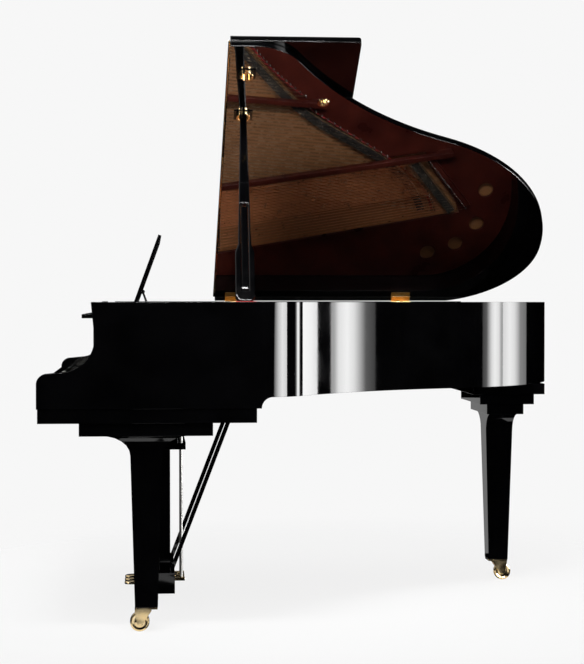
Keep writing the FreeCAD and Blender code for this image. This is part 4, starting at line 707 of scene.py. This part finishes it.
class StringLine:
    """The run of one note's strings, with its points at string height."""

    def __init__(self, note):
        self.note = note
        self.bass = note <= BASS_NOTES
        if self.bass:
            angle = -BASS_SLOPE * (1 - BASS_SLOPE_LOSS * note / BASS_NOTES)
        else:
            angle = TENOR_SLOPE * (NOTES - note) / (NOTES - BASS_NOTES)
        self.level = BASS_LEVEL if self.bass else STRING_LEVEL
        self.along = Vector((math.cos(angle), math.sin(angle), 0))
        self.across = Vector((-self.along.y, self.along.x, 0))
        self.strike = Vector((FRONT + STRIKE_SETBACK, note_place(note), self.level))
        length = speaking_length(note)
        self.agraffe = self.strike - self.along * (length * STRIKE_SHARE)
        self.bridge = self.agraffe + self.along * length
        self.hitch = self.bridge + self.along * HITCH_LENGTH

    def offsets(self):
        """Sideways places of the one, two or three strings."""
        if self.note <= SINGLE_NOTES:
            return (0,)
        if self.bass:
            return (-BASS_SPACING / 2, BASS_SPACING / 2)
        return (-UNISON_SPACING, 0, UNISON_SPACING)

    def pin(self, strand):
        return self.agraffe - self.along * (PIN_GAP + PIN_ROW * strand)

    def at(self, x):
        """The point of the line at a place along the case."""
        return self.strike + self.along * ((x - self.strike.x) / self.along.x)


LINES = [StringLine(note) for note in range(1, NOTES + 1)]


# Strings, pins and the small parts that guide them
SECTION_STARTS = [0] + [first - 1 for first in SECTION_GAPS] + [NOTES]
SECTIONS = [LINES[start:end] for start, end in zip(SECTION_STARTS, SECTION_STARTS[1:])]
STRING_SETS = (("bass_strings", "copper_winding", True), ("treble_strings", "string_steel", False))
BASS_WIRE = (0.0016, 0.0013)
BASS_CORE = 0.0005
STEEL_WIRE = (0.00060, 0.00038)
WINDING_START = 0.018
WINDING_END = 0.012
WINDING_TAPER = 0.004
PIN_RADIUS = 0.0033
PIN_RISE = 0.018
PIN_HEAD = 0.011
PIN_TAPER = ((PIN_HEAD, 1.05), (0.001, 0.85), (0, 0.6))
PIN_TURN = 0.4
COILS = 3
COIL_RISE = 0.003
HITCH_DROP = 0.006
BRIDGE_HALF = 0.014
BRIDGE_KINK = 0.0016


def wire_radius(note):
    """Steel wire grows thinner towards the treble; wound bass strings are thicker."""
    if note <= BASS_NOTES:
        (thick, thin), share = BASS_WIRE, note / BASS_NOTES
    else:
        (thick, thin), share = STEEL_WIRE, (note - BASS_NOTES) / (NOTES - BASS_NOTES)
    return thick - (thick - thin) * share


def one_string(wires, line, strand, offset, core):
    """One wire from its tuning pin over the bridge to its hitch pin; gives the ends of its winding."""
    side = line.across * offset
    kink = line.across * BRIDGE_KINK
    start = line.pin(strand) + side + line.across * PIN_RADIUS + UP * COIL_RISE
    front = line.agraffe + side
    near = line.bridge - line.along * BRIDGE_HALF + side
    far = line.bridge + line.along * BRIDGE_HALF + side + kink
    end = line.hitch + side + kink - UP * HITCH_DROP
    for begin, stop in ((start, front), (front, near), (near, far), (far, end)):
        wires.tube([begin, stop], [core] * 2)
    return line.agraffe + line.along * WINDING_START + side, near - line.along * WINDING_END


def build_strings():
    steel = FINISHES["string_steel"]
    copper = FINISHES["copper_winding"]
    for label, slot, bass in STRING_SETS:
        wires = Shape(steel, copper)
        for line in LINES:
            if line.bass != bass:
                continue
            thick = wire_radius(line.note)
            core = BASS_CORE if bass else thick
            for strand, offset in enumerate(line.offsets()):
                wires.use(steel)
                begin, stop = one_string(wires, line, strand, offset, core)
                if bass:
                    wires.use(copper)
                    taper = line.along * WINDING_TAPER
                    run = [begin, begin + taper, stop - taper, stop]
                    wires.tube(run, [core, thick, thick, core], count=8)
        piece = wires.done(label + "_round", "case", smooth=50)
        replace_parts(piece, label)


def build_tuning_pins():
    """Round pins with three turns of wire and a square tapered head."""
    nickel = FINISHES["nickel_steel"]
    steel = FINISHES["string_steel"]
    wire = wire_radius(BASS_NOTES + 1)
    bulge = PIN_RADIUS + 2 * wire
    pins = Shape(nickel, steel)
    for line in LINES:
        rise = line.level - PLATE_TOP
        top = rise + PIN_RISE
        shaft = [(0, PIN_RADIUS), (top - PIN_HEAD, PIN_RADIUS)]
        head = [(top - down, PIN_RADIUS * share) for down, share in PIN_TAPER]
        for strand, offset in enumerate(line.offsets()):
            base = line.pin(strand) + line.across * offset
            base.z = PLATE_TOP
            pins.use(nickel)
            pins.lathe(shaft, base, count=10)
            pins.lathe(head, base, count=4, turn=PIN_TURN * line.note)
            pins.use(steel)
            for coil in range(COILS):
                height = rise + COIL_RISE - 2 * wire * coil
                loop = [(height - wire, PIN_RADIUS), (height, bulge), (height + wire, PIN_RADIUS)]
                pins.lathe(loop, base, count=10)
    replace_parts(pins.done("tuning_pins_wound", "case", smooth=40), "tuning_pins")


# Agraffe and pressure bar: outlines are sideways and up from the string
STUD_RADIUS = 0.0062
STUD_DEPTH = 0.0056
STUD_BOTTOM = -0.005
STUD_OUTLINE = ((-0.0055, STUD_BOTTOM), (0.0055, STUD_BOTTOM), (0.0055, 0.002), (0.0034, 0.0045),
                (-0.0034, 0.0045), (-0.0055, 0.002))
BAR_OUTLINE = ((0, 0.0008), (0.007, 0.006), (0.008, 0.018), (-0.008, 0.018), (-0.007, 0.006))
BAR_OVERHANG = Vector((0, 0.018, 0))
BAR_FOOT = rectangle(-0.009, 0.009, -0.006, 0.006)
BAR_FOOT_TOP = STRING_LEVEL + 0.017


def build_agraffes():
    """Brass studs that hold the bass and tenor strings, and the bar that presses down the top ones."""
    brass = FINISHES["brass"]
    plate = FINISHES["bronze_plate"]
    studs = Shape(brass, plate)
    for line in LINES[:AGRAFFE_NOTES]:
        base = line.agraffe.copy()
        base.z = PLATE_TOP
        studs.use(brass)
        studs.lathe([(0, STUD_RADIUS), (line.level - PLATE_TOP + STUD_BOTTOM, STUD_RADIUS)], base, count=6)
        back = line.agraffe - line.along * (STUD_DEPTH / 2)
        studs.slab([back + line.across * u + UP * v for u, v in STUD_OUTLINE], line.along * STUD_DEPTH)
    studs.use(plate)
    held = [line.agraffe for line in LINES[AGRAFFE_NOTES:]]
    run = [held[0] + BAR_OVERHANG, *held, held[-1] - BAR_OVERHANG]
    studs.loft([[centre + Vector((u, 0, v)) for u, v in BAR_OUTLINE] for centre in run])
    for foot in (run[0], run[-1]):
        base = [Vector((foot.x + u, foot.y + v, PLATE_TOP)) for u, v in BAR_FOOT]
        studs.slab(base, UP * (BAR_FOOT_TOP - PLATE_TOP))
    studs.done("agraffes", "case")


# Bridge pins and hitch pins
BRIDGE_PIN_INSET = 0.003
BRIDGE_PIN_SIDE = 0.0014
BRIDGE_PIN = ((-0.004, 0.0009), (0.0028, 0.0009))
HITCH_PIN_RADIUS = 0.0016
HITCH_PIN_HEAD = ((0.003, HITCH_PIN_RADIUS), (0.0042, 0.0022), (0.005, 0.0012))
BASS_HITCH_TOP = BASS_LEVEL - HITCH_DROP - 0.008


def build_bridge_pins():
    """Two pins for each string on the bridge, and one hitch pin on the plate."""
    pins = Shape(FINISHES["nickel_steel"])
    reach = BRIDGE_HALF - BRIDGE_PIN_INSET
    for line in LINES:
        hitch_base = BASS_HITCH_TOP if line.bass else PLATE_TOP
        height = line.level - HITCH_DROP - hitch_base
        hitch_pin = [(0, HITCH_PIN_RADIUS)] + [(height + rise, radius) for rise, radius in HITCH_PIN_HEAD]
        for offset in line.offsets():
            for step, kink in ((-reach, 0), (reach, BRIDGE_KINK)):
                place = line.bridge + line.along * step + line.across * (offset + kink + BRIDGE_PIN_SIDE)
                pins.lathe(BRIDGE_PIN, place, count=5)
            place = line.hitch + line.across * (offset + BRIDGE_KINK)
            place.z = hitch_base
            pins.lathe(hitch_pin, place, count=7)
    pins.done("bridge_pins", "case", smooth=40)


# Strips across the strings: half width, and distance along the string from a point of its line
HITCH_RAIL_HALF = 0.016
HITCH_RAIL_OFFSET = 0.006
FRONT_FELT_HALF = 0.008
FRONT_FELT_OFFSET = 0.022
FRONT_FELT_GAP = 0.0022
BACK_FELT_HALF = 0.005
BACK_FELT_OFFSET = 0.012
BACK_FELT_HEIGHT = 0.0042


def ribbon(shape, lines, reach, half, high):
    """Low strip on the plate that follows a point of many string lines, square across them."""
    rings = []
    for line in lines:
        near = reach(line) - line.along * half
        far = reach(line) + line.along * half
        corners = ((near, PLATE_TOP), (far, PLATE_TOP), (far, high), (near, high))
        rings.append([Vector((point.x, point.y, level)) for point, level in corners])
    shape.loft(rings)


def build_plate_details():
    """Raised hitch rail for the bass, and felt under both ends of the strings."""
    rail = Shape(FINISHES["bronze_plate"])
    ribbon(rail, SECTIONS[0], lambda line: line.hitch + line.along * HITCH_RAIL_OFFSET,
           HITCH_RAIL_HALF, BASS_HITCH_TOP)
    rail.done("bass_hitch_rail", "case", bevel=0.003)
    felts = Shape(FINISHES["red_felt"])
    for lines in SECTIONS:
        top = lines[0].level - FRONT_FELT_GAP
        ribbon(felts, lines, lambda line: line.agraffe - line.along * FRONT_FELT_OFFSET, FRONT_FELT_HALF, top)
    for lines in SECTIONS[1:]:
        top = PLATE_TOP + BACK_FELT_HEIGHT
        ribbon(felts, lines, lambda line: line.hitch - line.along * BACK_FELT_OFFSET, BACK_FELT_HALF, top)
    felts.done("string_felt", "case", bevel=0.0012)


# Dampers
DAMPER_X = FRONT + 0.510
DAMPER_HALF = 0.020
DAMPER_SIDES = (-0.0055, 0.0065)
DAMPER_FELT = 0.006
DAMPER_HEIGHT = 0.014
DAMPER_CLEARANCE = 0.0003
DAMPED_STEEL = 0.00055
PAD_INSET = 0.001
PAD_GAP = 0.003
PAD_ROUNDING = 0.0004
HEAD_ROUNDING = 0.0016
DAMPER_WIRE = 0.0008
DAMPER_WIRE_SIDE = 0.0057
LIFT_BOTTOM = 0.762
LIFT_TOP = 0.776
LIFT_OUTLINE = ((-0.010, LIFT_BOTTOM), (0.010, LIFT_BOTTOM), (0.010, LIFT_TOP - 0.003), (0.007, LIFT_TOP),
                (-0.007, LIFT_TOP), (-0.010, LIFT_TOP - 0.003))


def damper_block(shape, line, centre, ends, heights, rounding):
    """Block along a string, drawn in a little at its top."""
    low, high = heights
    rings = []
    for height, shrink in ((low, 0), (high - rounding, 0), (high, rounding)):
        ring = []
        for u, v in rectangle(*ends, *DAMPER_SIDES):
            along = line.along * (u - math.copysign(shrink, u))
            across = line.across * (v - math.copysign(shrink, v))
            ring.append(centre + along + across + UP * height)
        rings.append(ring)
    shape.loft(rings)


def build_dampers():
    """Black heads on two pads of white felt, each on a wire that stands on the lifting rail."""
    black = FINISHES["damper_felt"]
    white = FINISHES["hammer_felt"]
    steel = FINISHES["nickel_steel"]
    dampers = Shape(black, white, steel)
    felt_end = DAMPER_HALF - PAD_INSET
    for line in LINES[:DAMPED_NOTES]:
        centre = line.at(DAMPER_X)
        centre.z += (BASS_WIRE[0] if line.bass else DAMPED_STEEL) + DAMPER_CLEARANCE
        dampers.use(white)
        for ends in ((-felt_end, -PAD_GAP), (PAD_GAP, felt_end)):
            damper_block(dampers, line, centre, ends, (0, DAMPER_FELT), PAD_ROUNDING)
        dampers.use(black)
        head = (-DAMPER_HALF, DAMPER_HALF)
        damper_block(dampers, line, centre, head, (DAMPER_FELT, DAMPER_HEIGHT), HEAD_ROUNDING)
        dampers.use(steel)
        stem = centre + line.across * DAMPER_WIRE_SIDE
        dampers.tube([Vector((stem.x, stem.y, LIFT_TOP)), stem + UP * DAMPER_FELT], [DAMPER_WIRE] * 2)
    dampers.use(black)
    rail_ends = (note_place(DAMPED_NOTES) - NOTE_PITCH, note_place(1) + NOTE_PITCH)
    dampers.loft([[Vector((DAMPER_X + x, y, z)) for x, z in LIFT_OUTLINE] for y in rail_ends])
    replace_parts(dampers.done("damper_heads", "dampers"), "dampers")


# Hammers: lengths along the shank, and heights square to it
HAMMER_PIVOT = Vector((FRONT + 0.325, 0, 0.800))
HAMMER_REST = math.radians(18)
HAMMER_ALONG = Vector((math.cos(HAMMER_REST), 0, -math.sin(HAMMER_REST)))
HAMMER_UP = Vector((math.sin(HAMMER_REST), 0, math.cos(HAMMER_REST)))
HAMMER_BASE = 0.0027
HAMMER_LENGTH = 0.130
HAMMER_REACH = 0.062
HAMMER_WIDTH = 0.0095
SHANK_LIFT = 0.003
SHANK_RADIUS = 0.0028
BUTT_LENGTH = 0.009
BUTT_TOP = HAMMER_BASE + 0.006
BUTT_OUTLINE = ((-BUTT_LENGTH, HAMMER_BASE), (0.016, HAMMER_BASE),
                (0.012, BUTT_TOP), (-BUTT_LENGTH, BUTT_TOP))
CORE_HALF = 0.0045
CORE_TIP_HALF = 0.001
CORE_SHOULDER = 0.034
CORE_TIP = 0.006
FELT_SWELL = (0.0098, 0.0064)
FELT_HEIGHT = 0.016
FELT_FOOT_HALF = 0.0046
FELT_FOOT = 0.004
FELT_STEPS = 8
FELT_OVERHANG = Vector((0, 0.0003, 0))
OCTAVE_NAMES = ("a", "a_sharp", "b", "c", "c_sharp", "d", "d_sharp", "e", "f", "f_sharp", "g", "g_sharp")
KEY_GROUPS = (("c", "f"), ("d", "g"), ("e", "a"), ("b",),
              ("c_sharp", "f_sharp", "a_sharp"), ("d_sharp", "g_sharp"))


def hammer(shape, note):
    """Round shank, wooden moulding and a pear of felt round its point."""
    reach = HAMMER_REACH + (BASS_LEVEL - STRING_LEVEL if note <= BASS_NOTES else 0)
    side = Vector((0, note_place(note) - HAMMER_WIDTH / 2, 0)) + HAMMER_PIVOT
    width = Vector((0, HAMMER_WIDTH, 0))

    def spot(u, v):
        return side + HAMMER_ALONG * u + HAMMER_UP * v

    shape.use(FINISHES["maple"])
    shank = [spot(u, HAMMER_BASE + SHANK_LIFT) + width / 2 for u in (-BUTT_LENGTH, HAMMER_LENGTH)]
    shape.tube(shank, [SHANK_RADIUS] * 2, count=8)
    shape.slab([spot(u, v) for u, v in BUTT_OUTLINE], width)
    low = reach - CORE_SHOULDER
    tip = reach - CORE_TIP
    core = [(-CORE_HALF, HAMMER_BASE), (CORE_HALF, HAMMER_BASE), (CORE_HALF, low),
            (CORE_TIP_HALF, tip), (-CORE_TIP_HALF, tip), (-CORE_HALF, low)]
    shape.slab([spot(HAMMER_LENGTH + u, v) for u, v in core], width)
    shape.use(FINISHES["hammer_felt"])
    swell = FELT_SWELL[0] - (FELT_SWELL[0] - FELT_SWELL[1]) * note / NOTES
    pear = [(FELT_FOOT_HALF, low - FELT_FOOT)]
    for step in range(FELT_STEPS + 1):
        turn = math.pi * step / FELT_STEPS
        pear.append((swell * math.cos(turn), reach - FELT_HEIGHT * (1 - math.sin(turn))))
    pear.append((-FELT_FOOT_HALF, low - FELT_FOOT))
    shape.slab([spot(HAMMER_LENGTH + u, v) - FELT_OVERHANG for u, v in pear], width + FELT_OVERHANG * 2)


def build_hammers():
    for names in KEY_GROUPS:
        label = "hammers_" + "_".join(names)
        hammers = Shape(FINISHES["hammer_felt"], FINISHES["maple"])
        for note in range(1, NOTES + 1):
            if OCTAVE_NAMES[(note - 1) % len(OCTAVE_NAMES)] in names:
                hammer(hammers, note)
        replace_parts(hammers.done(label + "_felted", label), label)


# Lid fittings, placed as on the closed lid and then turned with it
LID_TURN = Matrix.Rotation(-LID_ANGLE, 3, "X")
PROP_TIP = FRONT + 0.630
CUP_REACHES = (1.164, 1.372)
CUP_CENTRES = [Vector((PROP_TIP, LID_HINGE.y - reach, LID_UNDERSIDE)) for reach in CUP_REACHES]
CUP_INNER = 0.0160
CUP_OUTER = 0.0225
CUP_BASE = -0.0028
CUP_DEPTH = -0.013
CUP_SPLITS = (-78, 102)
CUP_ARC = 156
CUP_PAINT = (0.0015, 0.0015, 0.0017)
CUP_PAINT_EDGE = 0.0004
CUP_PLATE_REACH = 0.05
LOCK_PLACE = Vector((FRONT + 0.883, -0.480, LID_UNDERSIDE))
LOCK_BASE = -0.0002
LOCK_RINGS = ((0.007, 0.020, -0.0022), (0.007, 0.011, -0.007))
ARC_STEPS = 12
ARC_CHAMFER = 0.12


def lid_point(point):
    """From the closed lid to the lid as it stands open."""
    return LID_HINGE + LID_TURN @ (point - LID_HINGE)


def arc_wall(shape, centre, radii, levels, start, sweep):
    """Upright wall round part of a circle, under the lid."""
    inner, outer = radii
    low, high = levels
    slim = ARC_CHAMFER * (outer - inner)
    outline = ((inner, low), (outer, low), (outer, high + slim),
               (outer - slim, high), (inner + slim, high), (inner, high + slim))
    rings = []
    for step in range(ARC_STEPS + 1):
        turn = math.radians(start + sweep * step / ARC_STEPS)
        ray = Vector((math.cos(turn), math.sin(turn), 0))
        rings.append([lid_point(centre + ray * radius + UP * level) for radius, level in outline])
    shape.loft(rings)


def cup_brass():
    """Brass whose cup plates are painted black outside the round cup."""
    finish = metal_finish("cup_brass", **BRASS_LOOK)
    tree = finish.tree
    gaps = [distance(tree, finish.where, lid_point(centre)) for centre in CUP_CENTRES]
    nearest = calculate(tree, "MINIMUM", *gaps)
    outside = finish.level(nearest, 0.0, 1.0, start=CUP_OUTER, end=CUP_OUTER + CUP_PAINT_EDGE)
    painted = calculate(tree, "MULTIPLY", outside, calculate(tree, "LESS_THAN", nearest, CUP_PLATE_REACH))
    brass = finish.shader.inputs["Base Color"].links[0].from_socket
    finish.drive("Base Color", finish.mixed(painted, brass, CUP_PAINT))
    finish.drive("Metallic", finish.level(painted, 1.0, 0.0))
    return finish.material


def build_lid_fittings():
    """Two prop cups with a split wall, and the lock's catch, all on the lid's underside."""
    fittings = Shape(FINISHES["brass"])
    for centre in CUP_CENTRES:
        for start in CUP_SPLITS:
            arc_wall(fittings, centre, (CUP_INNER, CUP_OUTER), (CUP_BASE, CUP_DEPTH), start, CUP_ARC)
    for inner, outer, high in LOCK_RINGS:
        for start in (0, 180):
            arc_wall(fittings, LOCK_PLACE, (inner, outer), (LOCK_BASE, high), start, 180)
    fittings.done("lid_fittings", "lid", smooth=40)
    NODES["lid_hardware"].data.materials[0] = cup_brass()


# Felt, strips and buttons on top of the rim
RIM_MIDDLE = -CASE_HALF + 0.020
PROP_PAD_X = FRONT + 0.612
PROP_PAD = rectangle(-0.030, 0.030, -0.016, 0.016)
PROP_PAD_HEIGHT = 0.0024
REST_STRIPS = ((FRONT + 0.20, FRONT + 0.612), (FRONT + 0.69, FRONT + 1.248), (FRONT + 1.326, FRONT + 1.52))
REST_STRIP_SIDES = (CASE_HALF - 0.013, CASE_HALF - 0.001)
REST_STRIP_HEIGHT = 0.0026
BUTTON_PLACES = (FRONT + 0.20, FRONT + 0.38, FRONT + 0.56)
BUTTON = ((0, 0.009), (0.0012, 0.009), (0.0022, 0.0065))


def build_felts():
    """Red felt by the prop's foot, and the strips and buttons that the shut lid rests on."""
    pad = Shape(FINISHES["red_felt"])
    pad.slab([Vector((PROP_PAD_X + x, RIM_MIDDLE + y, RIM_TOP)) for x, y in PROP_PAD], UP * PROP_PAD_HEIGHT)
    pad.done("prop_felt", "case", bevel=0.0008)
    strips = Shape(FINISHES["rubber"])
    for ends in REST_STRIPS:
        strip = rectangle(*ends, *REST_STRIP_SIDES)
        strips.slab([Vector((x, y, RIM_TOP)) for x, y in strip], UP * REST_STRIP_HEIGHT)
    strips.done("lid_rest_strips", "case", bevel=0.0006)
    buttons = Shape(FINISHES["rubber"])
    for x in BUTTON_PLACES:
        buttons.lathe(BUTTON, (x, RIM_MIDDLE, RIM_TOP), count=20)
    buttons.done("rim_buttons", "case")


# Caster wheels: each row of the profile is a place across the wheel and a radius, from one side to the middle
LEG_X = FRONT + 0.319
LEG_Y = CASE_HALF - 0.110
TAIL_LEG = (FRONT + CASE_LENGTH - 0.191, 0.220)
CASTER_TRAIL = 0.020
WHEEL_RADIUS = 0.029
WHEEL_CORNERS = 48
CASTERS = (("treble", LEG_X - CASTER_TRAIL, -LEG_Y), ("bass", LEG_X - CASTER_TRAIL, LEG_Y),
           ("tail", TAIL_LEG[0] + CASTER_TRAIL, TAIL_LEG[1]))
WHEEL_HALF = [(-0.0128, 0.0062), (-0.0128, 0.0088), (-0.0120, 0.0100), (-0.0116, 0.0205), (-0.0128, 0.0225),
              (-0.0128, 0.0258), (-0.0118, 0.0282), (-0.0100, WHEEL_RADIUS), (-0.0016, WHEEL_RADIUS),
              (-0.0008, WHEEL_RADIUS - 0.0008)]


def build_wheels():
    """Turned brass wheels with a dished side, a raised rim and a fine line round the tread."""
    profile = WHEEL_HALF + [(-place, radius) for place, radius in WHEEL_HALF[::-1]]
    for label, x, y in CASTERS:
        wheel = Shape(FINISHES["brass"])
        wheel.lathe(profile, (x, y, WHEEL_RADIUS), Vector((0, 1, 0)), WHEEL_CORNERS)
        node = "caster_wheel_" + label
        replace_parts(wheel.done("wheel_" + label, node), node)


# Pedals: each section is a place behind the tip, a half width, a half thickness and a height
PEDAL_PITCH = 0.062
PEDAL_LEVEL = 0.062
PEDAL_BOX = FRONT + 0.348
PEDAL_TIP = PEDAL_BOX - 0.102
PEDAL_REAR = FRONT + 0.445
PEDALS = (("soft", 1), ("middle", 0), ("damper", -1))
PEDAL_CORNERS = 20
PEDAL_SQUARENESS = 0.6
PEDAL_SECTIONS = (
    (0.0000, 0.0100, 0.0030, -0.0100),
    (0.0030, 0.0170, 0.0046, -0.0096),
    (0.0100, 0.0225, 0.0056, -0.0092),
    (0.0220, 0.0248, 0.0060, -0.0090),
    (0.0360, 0.0240, 0.0060, -0.0088),
    (0.0540, 0.0190, 0.0060, -0.0082),
    (0.0720, 0.0140, 0.0060, -0.0062),
    (0.0880, 0.0115, 0.0060, -0.0030),
    (0.1020, 0.0108, 0.0060, 0.0),
    (PEDAL_REAR - PEDAL_TIP, 0.0108, 0.0060, 0.0),
)


def squared(value):
    """Pushes the sides of a round section outward, towards a rounded rectangle."""
    return math.copysign(abs(value) ** PEDAL_SQUARENESS, value)


def build_pedals():
    """Cast brass pedals: a rounded paddle that narrows and rises into the lyre box."""
    outline = [(squared(c), squared(s)) for c, s in circle(PEDAL_CORNERS)]
    for label, turn in PEDALS:
        pedal = Shape(FINISHES["brass"])
        rings = []
        for place, wide, thick, lift in PEDAL_SECTIONS:
            centre = Vector((PEDAL_TIP + place, turn * PEDAL_PITCH, PEDAL_LEVEL + lift))
            rings.append([centre + Vector((0, u * wide, v * thick)) for u, v in outline])
        pedal.loft(rings)
        node = "pedal_" + label
        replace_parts(pedal.done(node + "_cast", node, smooth=50), node)


build_camera()
build_lights()
build_world()
build_floor()
build_cloth()
dress_nodes()
build_strings()
build_tuning_pins()
build_agraffes()
build_bridge_pins()
build_plate_details()
build_dampers()
build_hammers()
build_lid_fittings()
build_felts()
build_wheels()
build_pedals()
bpy.context.scene.view_settings.view_transform = "Standard"
